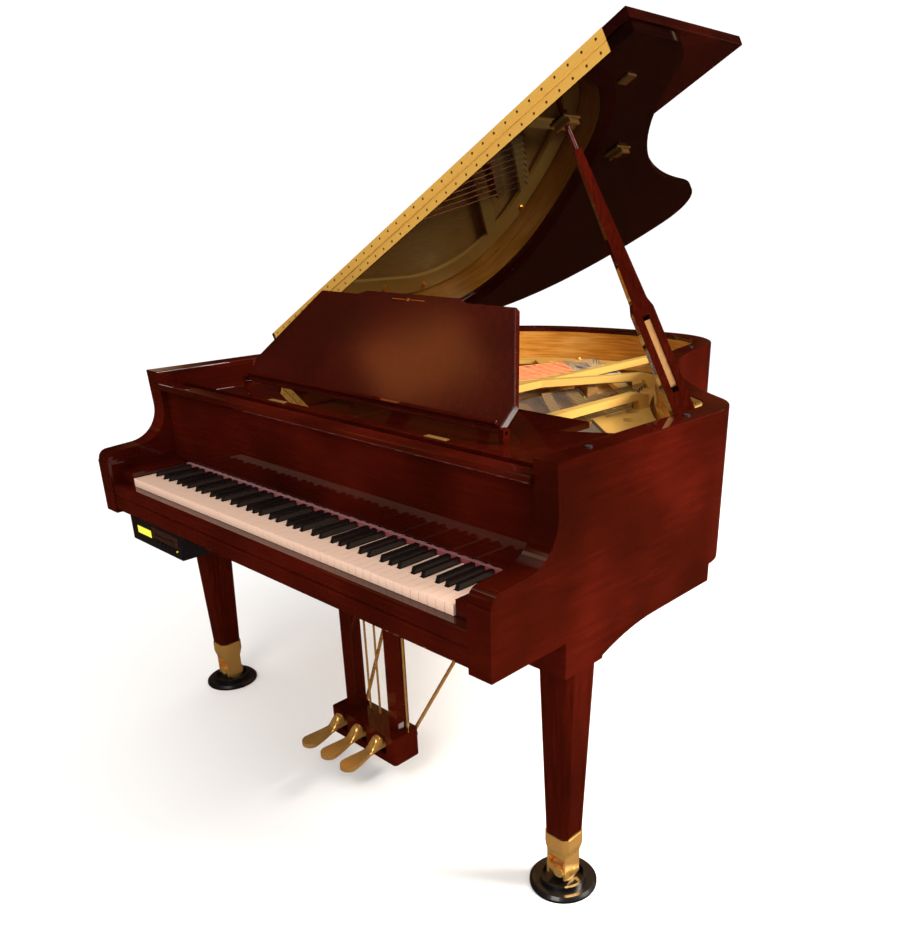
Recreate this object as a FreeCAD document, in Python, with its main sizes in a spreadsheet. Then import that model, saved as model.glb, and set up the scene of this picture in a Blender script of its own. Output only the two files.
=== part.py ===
import FreeCAD, Part
import math
import os
import re
from FreeCAD import Placement, Rotation, Vector

# Grand piano, lid raised on its long prop and front flap folded back.
# Lengths in mm, angles in degrees. X runs from bass to treble, Y from the arms to the tail, Z up.
# While the pieces are drawn, x = 0 is the middle of the case and y = 0 the front of the arms.

CASE = {
    "case_width": 1470, "case_length": 1735, "rim_top": 1000, "rim_wall": 57,
    "corner_radius": 140, "corner_turn": 59, "bend_radius": 926, "bend_turn": 52,
    "tail_right_radius": 229, "tail_right_turn": 83, "tail_radius": 1100, "tail_turn": 20,
    "tail_left_radius": 541.7, "beam_clear": 0.3,
    "arm_top_back": 175, "arm_lean": 3, "arm_upright": 95, "scroll_radius": 88, "scroll_turn": 89,
    "arm_rest": 72, "nose_radius": 26, "cut_margin": 20, "edge_round": 3,
    "lining_thickness": 2.5, "lining_drop": 14, "lining_front": 228, "lining_lift": 1,
    "inner_rim_wall": 44, "inner_rim_front": 486,
    "apron_thickness": 32, "apron_drop": 42, "apron_past": 2, "arch_foot_rise": 6,
    "block_width": 116, "block_depth": 120, "block_drop": 80,
    "belly_front": 488, "belly_depth": 42, "post_width": 58, "post_height": 76, "post_front_x": 250,
    "post_back_x": 160, "post_back_lean": 80, "tail_beam_inset": 405, "tail_beam_depth": 130,
}
SOUND = {
    "string_drop": 102, "plate_below": 18, "board_below": 22, "strut_above": 24, "strut_height": 20,
    "bass_above": 14, "board_thickness": 8, "board_front": 486,
    "rib_width": 24, "rib_height": 20, "rib_pitch": 150, "rib_turn": 52, "rib_first": 300, "rib_reach": 1600,
    "plate_gap": 9, "plate_thickness": 14, "plate_front": 258, "plate_band": 66, "web_back": 472,
    "web_behind": 58, "hitch_behind": 92,
    "lip_width": 22, "hitch_rail_width": 44, "hitch_rail_before": 58, "hitch_rail_behind": 112,
    "port_radius": 27, "port_inset": 60,
    "strut_width": 26, "strut_front": 425, "strut_foot": 32, "strut_nose": 12, "strut_seat": 18,
    "bar_y": 455, "bar_width": 14, "bar_inset": 100.5,
    "block_front": 262, "block_back": 420, "block_top_thickness": 34, "pinblock_gap": 3,
    "treble_wire": 0.6, "bass_wire": 2.2, "wire_rest": 0.2, "wire_front": 345, "tenor_inset": 369,
    "bridge_width": 30, "bridge_front": 545, "bridge_inset": 473, "bass_bridge_inset": 295,
    "bass_bridge_run": 280, "bass_bridge_margin": 22, "bass_tail": 120,
}
KEYS = {
    "cheek_width": 62.5, "cheek_gap": 4.5, "cheek_front": 34, "cheek_back": 190, "cheek_above": 13,
    "key_front": 33, "key_drop": 256, "key_height": 22, "key_length": 400, "key_stand": 54,
    "key_head": 48, "key_gap": 1, "sharp_front": 84, "sharp_back": 183, "sharp_height": 12,
    "sharp_width": 10.4, "sharp_bevel": 5, "key_pivot": 268, "key_clear": 0.3,
    "keybed_thickness": 50, "keybed_front": 3, "keybed_back": 470, "keybed_cove": 13,
    "slip_back": 30, "slip_below": 21, "slip_round": 8, "slip_groove": 3,
    "frame_clear": 0.3, "front_rail_y": 60, "front_rail_width": 34, "front_rail_below": 36,
    "balance_width": 10, "balance_base": 34, "back_rail_y": 428, "back_rail_width": 44,
    "bracket_width": 10, "bracket_post": 12, "bracket_back": 448, "bracket_above": 62,
    "bracket_arm_height": 16, "hammer_rail_front": 330, "hammer_rail_back": 345, "hammer_rail_height": 18,
    "shank_above": 9, "shank_height": 7, "hammer_front": 456, "hammer_back": 476, "hammer_below": 22,
    "hammer_width": 7, "damper_front": 500, "damper_back": 532, "damper_width": 7, "damper_tall": 16,
    "damper_notch": 8,
}
COVER = {
    "fall_face": 195, "fall_thickness": 18, "fall_drop": 32, "fall_gap": 2, "fall_pivot_back": 10,
    "fall_pivot_up": 18, "fall_pin": 5, "fall_pin_reach": 12, "pin_play": 0.05,
    "fall_round": 4, "nosing_reach": 28, "nosing_height": 18, "nosing_round": 8,
}
DESK = {
    "desk_y": 326, "desk_up": 36, "desk_rise": 50, "desk_height": 286, "desk_base": 462, "desk_knee": 470,
    "desk_knee_height": 62, "desk_top_half": 346, "desk_crown": 165, "desk_crown_step": 30,
    "desk_crown_rise": 11, "desk_thickness": 16, "desk_start": 6, "desk_round": 2.5, "desk_pin": 4,
    "desk_pin_reach": 10, "desk_lug": 14, "desk_lug_gap": 1.5, "desk_lug_depth": 20, "desk_lug_up": 9,
    "strut_pivot": 100, "strut_offset": 14, "strut_fall": 45, "strut_length": 118, "strut_half": 34,
    "strut_thick": 8, "strut_pin": 2.5, "strut_ear": 12, "strut_ear_gap": 0.6,
    "tray_above": 6, "tray_thickness": 14, "tray_gap": 8.5, "tray_front": 250, "tray_bar": 58,
    "tray_margin": 8.5, "tray_back": 592, "tray_runner": 34, "tray_runner_back": 470,
    "rail_width": 32, "rail_height": 17, "rail_front": 232, "rail_back": 575, "rail_clear": 0.3,
}
LID = {
    "lid_angle": 28.5, "hinge_out": 5, "hinge_up": 2, "lid_lift": 2, "lid_thickness": 22, "lid_overhang": 6,
    "lid_inset": 1, "lid_lead": 131, "flap_lead": 10, "lid_round": 2.5,
    "fold_ahead": 2, "fold_gap": 6, "knuckle_radius": 2.6, "knuckle_pin": 1.2, "knuckle_play": 0.08,
    "knuckle_gap": 0.4, "fold_leaf_margin": 1, "fold_leaf_clear": 0.2,
    "fold_start": 20, "fold_margin": 61, "fold_seat": 0.6,
    "spine_knuckle": 5, "spine_pin": 2.5, "spine_leaf": 1.6, "spine_leaf_reach": 40, "spine_length": 100,
    "spine_middle": 30, "spine_gap": 0.5, "spine_first": 118, "spine_pitch": 460, "spine_clear": 0.5,
    "cup_inset": 275, "cup_behind": 96, "cup_length": 56, "cup_width": 44, "cup_plate": 4, "cup_stop": 9,
    "cup_wall": 6, "cup_space": 9, "short_inset": 366, "short_behind": 403, "latch_inset": 121,
    "latch_behind": 129, "latch_size": 30,
}
PROP = {
    "prop_inset": 105, "prop_past": 22, "prop_drop": 30, "prop_fold_turn": 142.5, "prop_heel": 14,
    "prop_wide": 50, "prop_deep": 30, "prop_board": 250, "prop_shoulder": 22, "prop_waist": 36,
    "prop_neck": 18, "prop_point": 60, "prop_tip_radius": 6, "prop_tip_clear": 0.8, "prop_pin": 5,
    "prop_pin_play": 0.05, "slot_width": 16, "slot_floor": -4, "slot_start": 56, "slot_end": 236,
    "half_pivot": 76, "half_depth": 5, "half_width": 14, "half_thick": 16, "half_length": 150, "half_pin": 3,
    "mount_radius": 12, "mount_clear": 0.5, "mount_reach": 90,
}
LEGS = {
    "leg_inset": 45, "leg_y": 266, "rear_leg_x": -100, "rear_leg_inset": 340,
    "leg_top_width": 90, "leg_bottom_width": 62, "leg_chamfer": 12, "leg_bottom": 122,
    "ferrule_bottom": 90, "ferrule_low": 58, "ferrule_wide": 69, "ferrule_top": 140, "ferrule_clear": 0.2,
    "ferrule_step": 110,
    "stem_radius": 6, "stem_height": 20, "stem_play": 0.05, "yoke_radius": 24, "yoke_gap": 0.3,
    "yoke_plate": 8, "fork_thickness": 5, "fork_back": 24, "fork_front": 26, "fork_bottom": 26,
    "wheel_radius": 26, "wheel_width": 40, "wheel_trail": 6, "wheel_gap": 1, "axle_radius": 5,
    "axle_play": 0.05, "wheel_lift": 0.3, "brake_radius": 13.5,
    "brake_reach": 6, "brake_plate": 4, "brake_height": 12, "brake_up": 12, "brake_side": 10,
    "cup_floor": 9, "cup_radius": 76, "cup_base": 12, "cup_ring": 52, "cup_ring_top": 22, "cup_recess": 46,
    "cup_bevel": 6,
}
LYRE = {
    "lyre_x": 26, "lyre_front": 235, "lyre_depth": 85, "lyre_half": 130, "lyre_bottom": 70, "lyre_top": 150,
    "lyre_wall": 12, "lyre_round": 10, "lyre_slot": 32, "slot_low": 92, "slot_high": 136,
    "post_x": 88, "post_y": 291, "post_size": 34, "post_deep": 40, "lyre_head": 24, "lyre_head_half": 150,
    "rod_inner": 40, "rod_outer": 110, "rod_y": 300, "rod_radius": 3, "rod_hole": 4, "rod_entry": 12,
    "rod_room": 12, "pedal_pitch": 80, "pedal_pivot_y": 275, "pedal_pivot_z": 120, "pedal_axle": 4,
    "pedal_play": 0.05, "pedal_back": 305, "pedal_low": 114, "pedal_high": 126, "pedal_neck": 12,
    "pedal_wide": 24, "pedal_tip": 105, "tip_low": 104, "tip_high": 116, "pedal_tab": 293, "rod_rest": 0.5,
    "tab_edge": 7,
    "brace_x": 100, "brace_low_z": 118, "brace_high_y": 692, "brace_radius": 5, "brace_flange": 13,
    "brace_foot": 6,
}
CONTROL = {
    "control_inset": 95, "control_width": 265, "control_front": 18, "control_back": 190,
    "control_height": 68, "display_inset": 36, "display_width": 73, "display_up": 26, "display_height": 20,
    "display_thick": 1.5, "button_inset": 132, "button_width": 12, "button_pitch": 20,
    "button_up": 18, "button_height": 7, "button_out": 3, "button_in": 3.5, "button_well": 6,
    "button_clear": 0.4,
}
SIZES = {}
for group in (CASE, SOUND, KEYS, COVER, DESK, LID, PROP, LEGS, LYRE, CONTROL):
    SIZES.update(group)

# Places that follow from the sizes, each a sum of names
PLACES = {
    "key_top": "rim_top -key_drop", "keybed_top": "key_top -key_stand",
    "rim_bottom": "keybed_top -keybed_thickness", "block_bottom": "rim_bottom -block_drop",
    "apron_bottom": "rim_bottom -apron_drop", "arch_foot": "block_bottom arch_foot_rise",
    "treble_height": "rim_top -string_drop", "plate_bottom": "treble_height -plate_below",
    "board_bottom": "plate_bottom -board_below", "lining_bottom": "board_bottom board_thickness lining_lift",
    "strut_bottom": "treble_height strut_above", "strut_top": "strut_bottom strut_height",
    "bass_height": "treble_height bass_above", "hammer_top": "treble_height -hammer_below",
    "slip_top": "key_top -slip_below", "cheek_top": "key_top cheek_above",
    "front_rail_top": "key_top -front_rail_below", "bracket_arm_top": "key_top bracket_above",
    "shank_bottom": "bracket_arm_top shank_above", "hammer_rail_top": "bracket_arm_top hammer_rail_height",
    "fall_bottom": "cheek_top", "fall_top": "rim_top -fall_drop", "fall_pivot_y": "fall_face fall_pivot_back",
    "fall_pivot_z": "fall_bottom fall_pivot_up", "tray_bottom": "strut_top tray_above",
    "desk_z": "tray_bottom desk_up", "desk_lug_top": "desk_z desk_lug_up", "prop_z": "rim_top -prop_drop",
    "rod_top": "rim_bottom rod_entry", "rod_bore_top": "rod_top rod_room",
    "keyboard_half": "half_case -rim_wall -cheek_width -cheek_gap", "leg_x": "half_case -leg_inset",
    "tray_side": "half_case -rim_wall -lining_thickness -tray_gap",
    "tray_inner": "desk_base desk_lug_gap desk_lug tray_margin",
    "bar_side": "half_case -rim_wall -lining_thickness -bar_inset", "prop_x": "half_case -prop_inset",
    "control_left": "control_inset -half_case", "control_right": "control_left control_width",
    "control_bottom": "rim_bottom -control_height", "display_left": "control_left display_inset",
    "display_right": "display_left display_width", "display_low": "control_bottom display_up",
    "display_high": "display_low display_height", "button_left": "control_left button_inset",
    "button_low": "control_bottom button_up",
    "rear_leg_y": "case_length -rear_leg_inset", "tail_beam_y": "case_length -tail_beam_inset",
    "tenor_end": "case_length -tenor_inset", "bass_bridge_y": "case_length -bass_bridge_inset",
    "bridge_back": "case_length -bridge_inset", "flap_front": "arm_top_back -flap_lead",
}

# Shares along the treble bridge: place across the strings, and depth towards the tail
BRIDGE_SHARES = ((1, 0), (0.83, 0.13), (0.66, 0.3), (0.5, 0.47), (0.33, 0.67), (0.16, 0.87), (0, 1))
# Sections of plain strings as shares of the half width inside the rim, and their counts
SECTION_SHARES = ((-0.401, -0.035), (0.024, 0.434), (0.49, 0.826))
SECTION_COUNTS = (18, 22, 28)
BASS_SHARES = (-0.826, -0.494)
BASS_COUNT = 20
# Slant of the lowest and the highest bass string, and the struts' places across the plate
FAN_SHARES = (0.3, 0.56)
STRUT_SHARES = (-0.474, -0.006, 0.462)
# Ports along the plate's treble side, and how far into the band the string ends lie
PORT_SHARES = (0.12, 0.155, 0.19, 0.225, 0.26)
HITCH_SHARE = 0.72
ARCH_SHARE = 0.45
# The tail beam's ends as shares of the half width
BEAM_SHARES = (-0.76, 0.2)
WHITE_CLASSES = (0, 2, 4, 5, 7, 9, 11)
LOOSE_KEYS = {39: "key_c4", 40: "key_c_sharp4", 41: "key_d4", 42: "key_d_sharp4", 43: "key_e4", 44: "key_f4"}
BUTTON_COUNT = 5
KNUCKLES = 24
BRACKET_SHARES = (-0.92, -0.33, 0.33, 0.92)

doc = FreeCAD.newDocument("grand_piano")
sheet = doc.addObject("Spreadsheet::Sheet", "sizes")
for row, (alias, value) in enumerate(SIZES.items(), start=1):
    sheet.set(f"A{row}", alias)
    sheet.set(f"B{row}", str(value))
    sheet.setAlias(f"B{row}", alias)
doc.recompute()


class Sizes:
    """The sheet's values, and the places worked out from them, by name."""


S = Sizes()
for alias in SIZES:
    setattr(S, alias, float(sheet.get(alias)))
S.half_case = S.case_width / 2
SUMS = {"half_case": "(case_width / 2)"}
for place, words in PLACES.items():
    total = 0
    for word in words.split():
        total += -getattr(S, word[1:]) if word.startswith("-") else getattr(S, word)
    setattr(S, place, total)
    SUMS[place] = "(" + " + ".join(word.replace("-", "-1 * ") for word in words.split()) + ")"

X = Vector(1, 0, 0)
Y = Vector(0, 1, 0)
Z = Vector(0, 0, 1)
HALF = S.half_case
INNER = S.half_case - S.rim_wall
SECTIONS = [(low * INNER, high * INNER, count) for (low, high), count in zip(SECTION_SHARES, SECTION_COUNTS)]
FINISHED = []


def bound(text):
    """An expression on the sheet, from a sum of its names."""
    def cell(found):
        word = found.group(0)
        if word in SUMS:
            return bound(SUMS[word])
        return "sizes." + word if word in SIZES else word
    return re.sub(r"[a-z][a-z_0-9]*", cell, text)


def finish(piece, label):
    piece.Label = label
    FINISHED.append(piece)
    return piece


def box(name, x0, x1, y0, y1, z0, z1):
    """A block between six planes, each a sum of sheet names."""
    piece = doc.addObject("Part::Box", name)
    for side, low, high, axis in (("Length", x0, x1, "x"), ("Width", y0, y1, "y"), ("Height", z0, z1, "z")):
        piece.setExpression(side, bound(f"({high}) - ({low})"))
        piece.setExpression(f"Placement.Base.{axis}", bound(low))
    return piece


def rod(name, radius, start, length, along=Z):
    """A round bar from a start point of sheet sums, along a direction."""
    piece = doc.addObject("Part::Cylinder", name)
    piece.Placement = Placement(Vector(), Rotation(Z, along))
    piece.setExpression("Radius", bound(radius))
    piece.setExpression("Height", bound(length))
    for axis, text in zip("xyz", start):
        piece.setExpression(f"Placement.Base.{axis}", bound(text))
    return piece


def cut(name, base, *tools):
    piece = doc.addObject("Part::Cut", name)
    piece.Base = base
    piece.Tool = tools[0] if len(tools) == 1 else fuse(name + "_tools", *tools)
    return piece


def fuse(name, *members):
    piece = doc.addObject("Part::MultiFuse", name)
    piece.Shapes = list(members)
    return piece


def gather(name, *members):
    piece = doc.addObject("Part::Compound", name)
    piece.Links = list(members)
    return piece


def feature(name, shape, place=None):
    piece = doc.addObject("Part::Feature", name)
    piece.Shape = shape
    if place:
        piece.Placement = place
    return piece


def polygon(points):
    """Sketch lines through points and back to the first."""
    kept = []
    for point in points:
        spot = Vector(point[0], point[1], 0)
        if not kept or not spot.isEqual(kept[-1], 1e-6):
            kept.append(spot)
    return [Part.LineSegment(a, b) for a, b in zip(kept, kept[1:] + kept[:1])]


def trail(start, heading, steps):
    """Straight runs (length,) and tangent arcs (radius, turn) from a point; left turns are positive."""
    here = Vector(start[0], start[1], 0)
    edges = []
    for step in steps:
        facing = math.radians(heading)
        if len(step) == 1:
            there = here + Vector(math.cos(facing), math.sin(facing), 0) * step[0]
            edges.append(Part.LineSegment(here, there))
        else:
            radius, turn = step
            side = math.copysign(1, turn)
            centre = here + Vector(-math.sin(facing), math.cos(facing), 0) * (side * radius)
            first = facing - side * math.pi / 2
            last = first + math.radians(turn)
            there = centre + Vector(math.cos(last), math.sin(last), 0) * radius
            circle = Part.Circle(centre, Z, radius)
            edges.append(Part.ArcOfCircle(circle, min(first, last), max(first, last)))
            heading += turn
        here = there
    return edges, here


def padded(name, plane, edges, start, length, rounds=()):
    """A sketch on an origin plane, pushed out by a sheet sum; then edges rounded by (name, test) pairs."""
    body = doc.addObject("PartDesign::Body", name)
    sketch = body.newObject("Sketcher::SketchObject", name + "_sketch")
    origin = [item for item in body.Origin.OriginFeatures if item.Name.startswith(plane)][0]
    sketch.AttachmentSupport = (origin, [""])
    sketch.MapMode = "FlatFace"
    sketch.setExpression("AttachmentOffset.Base.z", bound(start))
    sketch.addGeometry(edges)
    pad = body.newObject("PartDesign::Pad", name + "_pad")
    pad.Profile = sketch
    pad.setExpression("Length", bound(length))
    doc.recompute()
    for number, (radius, test) in enumerate(rounds):
        last = body.Tip
        names = [f"Edge{i}" for i, edge in enumerate(last.Shape.Edges, start=1) if test(edge)]
        soft = body.newObject("PartDesign::Fillet", f"{name}_round{number}")
        soft.Base = (last, names)
        soft.setExpression("Radius", bound(radius))
        doc.recompute()
    return body


def solid(edges, base, push):
    """A flat outline raised to a base height and pushed along Z."""
    wire = Part.Wire(Part.__sortEdges__([edge.toShape() for edge in edges]))
    shape = Part.Face(wire).extrude(Z * push)
    shape.translate(Z * base)
    return shape


def side_solid(points, low, high):
    """A profile in Y and Z pushed along X."""
    wire = Part.makePolygon([Vector(low, p[0], p[1]) for p in points + points[:1]])
    return Part.Face(wire).extrude(X * (high - low))


def block(x0, x1, y0, y1, z0, z1):
    return Part.makeBox(x1 - x0, y1 - y0, z1 - z0, Vector(x0, y0, z0))


def level(height):
    return lambda edge: all(abs(v.Z - height) < S.key_clear for v in edge.Vertexes)


# Plan of the case

def sines(*turns):
    return [math.sin(math.radians(turn)) for turn in turns]


def cosines(*turns):
    return [math.cos(math.radians(turn)) for turn in turns]


# Headings of the outline where its arcs meet, from the straight treble side to the spine
UP = 90
TURN_1 = UP + S.corner_turn
TURN_2 = TURN_1 - S.bend_turn
TURN_3 = TURN_2 + S.tail_right_turn
TURN_4 = TURN_3 + S.tail_turn
TURN_5 = UP + 180
s0, s1, s2, s3, s4, s5 = sines(UP, TURN_1, TURN_2, TURN_3, TURN_4, TURN_5)
c0, c1, c2, c3, c4, c5 = cosines(UP, TURN_1, TURN_2, TURN_3, TURN_4, TURN_5)
# The arcs keep their proportions and together span the case from side to side
spanned = (S.corner_radius * (s0 - s1) + S.bend_radius * (s2 - s1) + S.tail_right_radius * (s2 - s3)
           + S.tail_radius * (s3 - s4) + S.tail_left_radius * (s4 - s5))
fitted = S.case_width / spanned
CORNER = S.corner_radius * fitted
BEND = S.bend_radius * fitted
TAIL_RIGHT = S.tail_right_radius * fitted
TAIL = S.tail_radius * fitted
STRAIGHT = S.case_length - CORNER * (c0 - c1) - BEND * (c2 - c1) - TAIL_RIGHT * (c2 + 1)


def treble_side(offset, front):
    """The straight side, the corner and the bend, grown by an offset, from the depth where they start."""
    side = HALF + offset
    corner = CORNER + offset
    bend = BEND - offset
    middle = Vector(HALF - CORNER + (CORNER + BEND) * s1, STRAIGHT - (CORNER + BEND) * c1, 0)
    # An offset past the corner's radius leaves the straight side and the bend to meet in a point
    turn = S.corner_turn if corner > 0 else math.degrees(math.acos((middle.x - side) / bend))
    bend_front = middle.y - bend * math.sin(math.radians(turn))
    before = []
    if front >= bend_front:
        turn = math.degrees(math.asin((middle.y - front) / bend))
        start = (middle.x - bend * math.cos(math.radians(turn)), front)
        heading = UP + turn
        steps = []
    elif corner > 0 and front > STRAIGHT:
        lean = math.degrees(math.asin((front - STRAIGHT) / corner))
        start = (HALF - CORNER + corner * math.cos(math.radians(lean)), front)
        heading = UP + lean
        steps = [(corner, turn - lean)]
    elif corner > 0:
        start = (side, front)
        heading = UP
        steps = [(STRAIGHT - front,), (corner, turn)]
    else:
        before = trail((side, front), UP, [(bend_front - front,)])[0]
        start = (side, bend_front)
        heading = UP + turn
        steps = []
    edges, there = trail(start, heading, steps + [(bend, TURN_2 - UP - turn)])
    first = Vector(side, front, 0) if before else Vector(*start, 0)
    return before + edges, first, there


def plan(offset, front, left=None):
    """The case outline from the treble front round the tail to the bass front, grown by an offset."""
    edges, first, there = treble_side(offset, front)
    tail, there = trail((there.x, there.y), TURN_2, [(TAIL_RIGHT + offset, S.tail_right_turn),
                                                     (TAIL + offset, S.tail_turn)])
    edge_left = -HALF - offset if left is None else left
    radius = (there.x - edge_left) / (s4 - s5)
    last, there = trail((there.x, there.y), TURN_4, [(radius, TURN_5 - TURN_4)])
    spine = Part.LineSegment(there, Vector(edge_left, front, 0))
    return edges + tail + last + [spine], first, Vector(edge_left, front, 0)


def sheet_edges(offset, front, left=None):
    edges, first, last = plan(offset, front, left)
    return edges + [Part.LineSegment(last, first)]


def band_edges(outer, inner, front):
    edges, first, last = plan(outer, front)
    within, start, end = plan(inner, front)
    return edges + within + [Part.LineSegment(first, start), Part.LineSegment(last, end)]


def depth_at(x, offset):
    """How far back the outline lies at a place across the case."""
    found = []
    for edge in plan(offset, 0)[0]:
        spots = edge.toShape().discretize(60)
        found += [a.y + (b.y - a.y) * (x - a.x) / (b.x - a.x)
                  for a, b in zip(spots, spots[1:]) if (a.x - x) * (b.x - x) <= 0 and a.x != b.x]
    return max(found)


# Rim with scrolled arms
rim_body = padded("rim_body", "XY", band_edges(0, -S.rim_wall, 0), "rim_bottom", "rim_top - rim_bottom")
arm_path, nose_end = trail((S.arm_top_back, S.rim_top), 270 + S.arm_lean, [
    (S.arm_upright,), (S.scroll_radius, -S.scroll_turn), (S.arm_rest,),
    (S.nose_radius, S.scroll_turn - S.arm_lean)])
above = S.rim_top + S.cut_margin
before = -S.cut_margin
corner = [Vector(nose_end.x, nose_end.y, 0), Vector(before, nose_end.y, 0), Vector(before, above, 0),
          Vector(S.arm_top_back, above, 0), Vector(S.arm_top_back, S.rim_top, 0)]
scoop = rim_body.newObject("Sketcher::SketchObject", "arm_scroll")
scoop.AttachmentSupport = ([f for f in rim_body.Origin.OriginFeatures if f.Name.startswith("YZ")][0], [""])
scoop.MapMode = "FlatFace"
scoop.addGeometry(arm_path + [Part.LineSegment(a, b) for a, b in zip(corner, corner[1:])])
pocket = rim_body.newObject("PartDesign::Pocket", "arm_pocket")
pocket.Profile = scoop
pocket.Midplane = True
pocket.setExpression("Length", bound("case_width + cut_margin"))
doc.recompute()


def scroll_edge(edge):
    """The edge where the arm's scroll meets the rim's top."""
    return len(edge.Vertexes) == 2 and all(abs(v.Y - S.arm_top_back) < S.key_clear for v in edge.Vertexes)


soft = rim_body.newObject("PartDesign::Fillet", "rim_round")
soft.Base = (pocket, [f"Edge{i}" for i, e in enumerate(pocket.Shape.Edges, start=1)
                      if level(S.rim_top)(e) and not scroll_edge(e)])
soft.setExpression("Radius", bound("edge_round"))
inner = "(case_width / 2 - rim_wall)"
bore_reach = "fall_pin_reach + fall_gap"
BORE_STARTS = {"treble": inner, "bass": f"-{inner} - ({bore_reach})"}
bores = [rod(f"fall_bore_{end}", "fall_pin + pin_play", (start, "fall_pivot_y", "fall_pivot_z"), bore_reach, X)
         for end, start in BORE_STARTS.items()]
finish(cut("outer_rim", rim_body, *bores), "outer_rim")
finish(padded("rim_lining", "XY", band_edges(-S.rim_wall, -S.rim_wall - S.lining_thickness, S.lining_front),
              "lining_bottom", "rim_top - lining_drop - lining_bottom"), "rim_lining")
finish(padded("inner_rim", "XY", band_edges(-S.rim_wall, -S.rim_wall - S.inner_rim_wall, S.inner_rim_front),
              "rim_bottom", "board_bottom - rim_bottom"), "inner_rim")

# Aprons over the front legs, with an arch behind each
front_y = S.leg_y - S.block_depth / 2
back_y = S.leg_y + S.block_depth / 2
apron_end = STRAIGHT + S.apron_past
arch_end = back_y + (apron_end - back_y) * ARCH_SHARE
half_span = arch_end - back_y
rise = S.apron_bottom - S.arch_foot
arch_radius = (half_span ** 2 + rise ** 2) / (2 * rise)
arch_centre = Vector(arch_end, S.apron_bottom - arch_radius, 0)
arch_first = math.pi / 2
arch_last = math.pi - math.asin((arch_radius - rise) / arch_radius)
corners = [Vector(arch_end, S.apron_bottom, 0), Vector(apron_end, S.apron_bottom, 0),
           Vector(apron_end, S.rim_bottom, 0), Vector(front_y, S.rim_bottom, 0),
           Vector(front_y, S.block_bottom, 0), Vector(back_y, S.block_bottom, 0),
           Vector(back_y, S.arch_foot, 0)]
apron_edges = [Part.LineSegment(a, b) for a, b in zip(corners, corners[1:])]
apron_edges.append(Part.ArcOfCircle(Part.Circle(arch_centre, Z, arch_radius), arch_first, arch_last))
aprons = []
for side, start in (("treble", "case_width / 2 - apron_thickness"), ("bass", "-case_width / 2")):
    board = padded(f"{side}_apron_board", "YZ", apron_edges, start, "apron_thickness")
    low = "case_width / 2 - block_width" if side == "treble" else "-case_width / 2"
    lump = box(f"{side}_leg_block", low, f"{low} + block_width", "leg_y - block_depth / 2",
               "leg_y + block_depth / 2", "block_bottom", "rim_bottom")
    aprons.append(fuse(f"{side}_apron", board, lump))
finish(gather("leg_aprons", *aprons), "leg_aprons")

# Keybed, keyslip and key blocks
cove = S.keybed_cove
bed_bottom = S.rim_bottom
bed_profile = [(S.keybed_front + S.slip_groove, S.keybed_top), (S.keybed_front, S.keybed_top - S.slip_groove),
               (S.keybed_front, bed_bottom + cove), (S.keybed_front + cove, bed_bottom),
               (S.keybed_back, bed_bottom), (S.keybed_back, S.keybed_top)]
bed = padded("keybed_board", "YZ", polygon(bed_profile), f"-{inner}", f"{inner} * 2")
ROD_PLACES = {"soft": "lyre_x - rod_inner", "sostenuto": "lyre_x", "sustain": "lyre_x + rod_outer"}
bed_bores = [rod(f"{name}_rod_bore", "rod_hole", (across, "rod_y", "rim_bottom"), "rod_bore_top - rim_bottom")
             for name, across in ROD_PLACES.items()]
finish(cut("keybed", bed, *bed_bores), "keybed")
slip_profile = [(S.keybed_front + S.slip_groove, S.keybed_top), (S.slip_back, S.keybed_top),
                (S.slip_back, S.slip_top), (S.keybed_front, S.slip_top),
                (S.keybed_front, S.keybed_top + S.slip_groove)]
finish(padded("keyslip", "YZ", polygon(slip_profile), f"-{inner}", f"{inner} * 2",
              [("slip_round", lambda e: level(S.slip_top)(e) and all(
                  abs(v.Y - S.keybed_front) < S.key_clear for v in e.Vertexes))]), "keyslip")
reach = "(keyboard_half + cheek_gap)"
cheeks = [box("cheek_treble", reach, inner, "cheek_front", "cheek_back", "keybed_top", "cheek_top"),
          box("cheek_bass", f"-{inner}", f"-{reach}", "cheek_front", "cheek_back", "keybed_top", "cheek_top")]
finish(gather("key_blocks", *cheeks), "key_blocks")

# Belly rail and braces under the soundboard
rail_half = "(case_width / 2 - rim_wall - inner_rim_wall)"
belly = box("belly_rail", f"-{rail_half}", rail_half, "belly_front", "belly_front + belly_depth",
            "rim_bottom", "board_bottom - rib_height")
beam = feature("tail_beam", block(HALF * BEAM_SHARES[0], HALF * BEAM_SHARES[1], S.tail_beam_y,
                                  S.tail_beam_y + S.tail_beam_depth, S.rim_bottom,
                                  S.rim_bottom + S.post_height).common(
    solid(sheet_edges(-S.rim_wall - S.inner_rim_wall - S.beam_clear, S.belly_front), S.rim_bottom,
          S.post_height)))
rear_block = box("rear_leg_block", "rear_leg_x - block_width / 2", "rear_leg_x + block_width / 2",
                 "rear_leg_y - block_depth / 2", "rear_leg_y + block_depth / 2", "block_bottom", "rim_bottom")
posts = [belly, beam, rear_block]
belly_back = S.belly_front + S.belly_depth


def post_middle(k, y):
    """The middle of a post, counted from the centre one, at a depth in the case."""
    foot_x = S.lyre_x + k * S.post_front_x
    head_x = k * S.post_back_x - S.post_back_lean
    return foot_x + (head_x - foot_x) * (y - belly_back) / (S.tail_beam_y - belly_back)


for k in (-1, 0, 1):
    half = S.post_width / 2
    foot_x = post_middle(k, belly_back)
    head_x = post_middle(k, S.tail_beam_y)
    plan_points = [(foot_x - half, belly_back), (foot_x + half, belly_back), (head_x + half, S.tail_beam_y),
                   (head_x - half, S.tail_beam_y)]
    posts.append(padded(f"back_post{k + 1}", "XY", polygon(plan_points), "rim_bottom", "post_height"))
finish(gather("back_posts", *posts), "back_posts")

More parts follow.
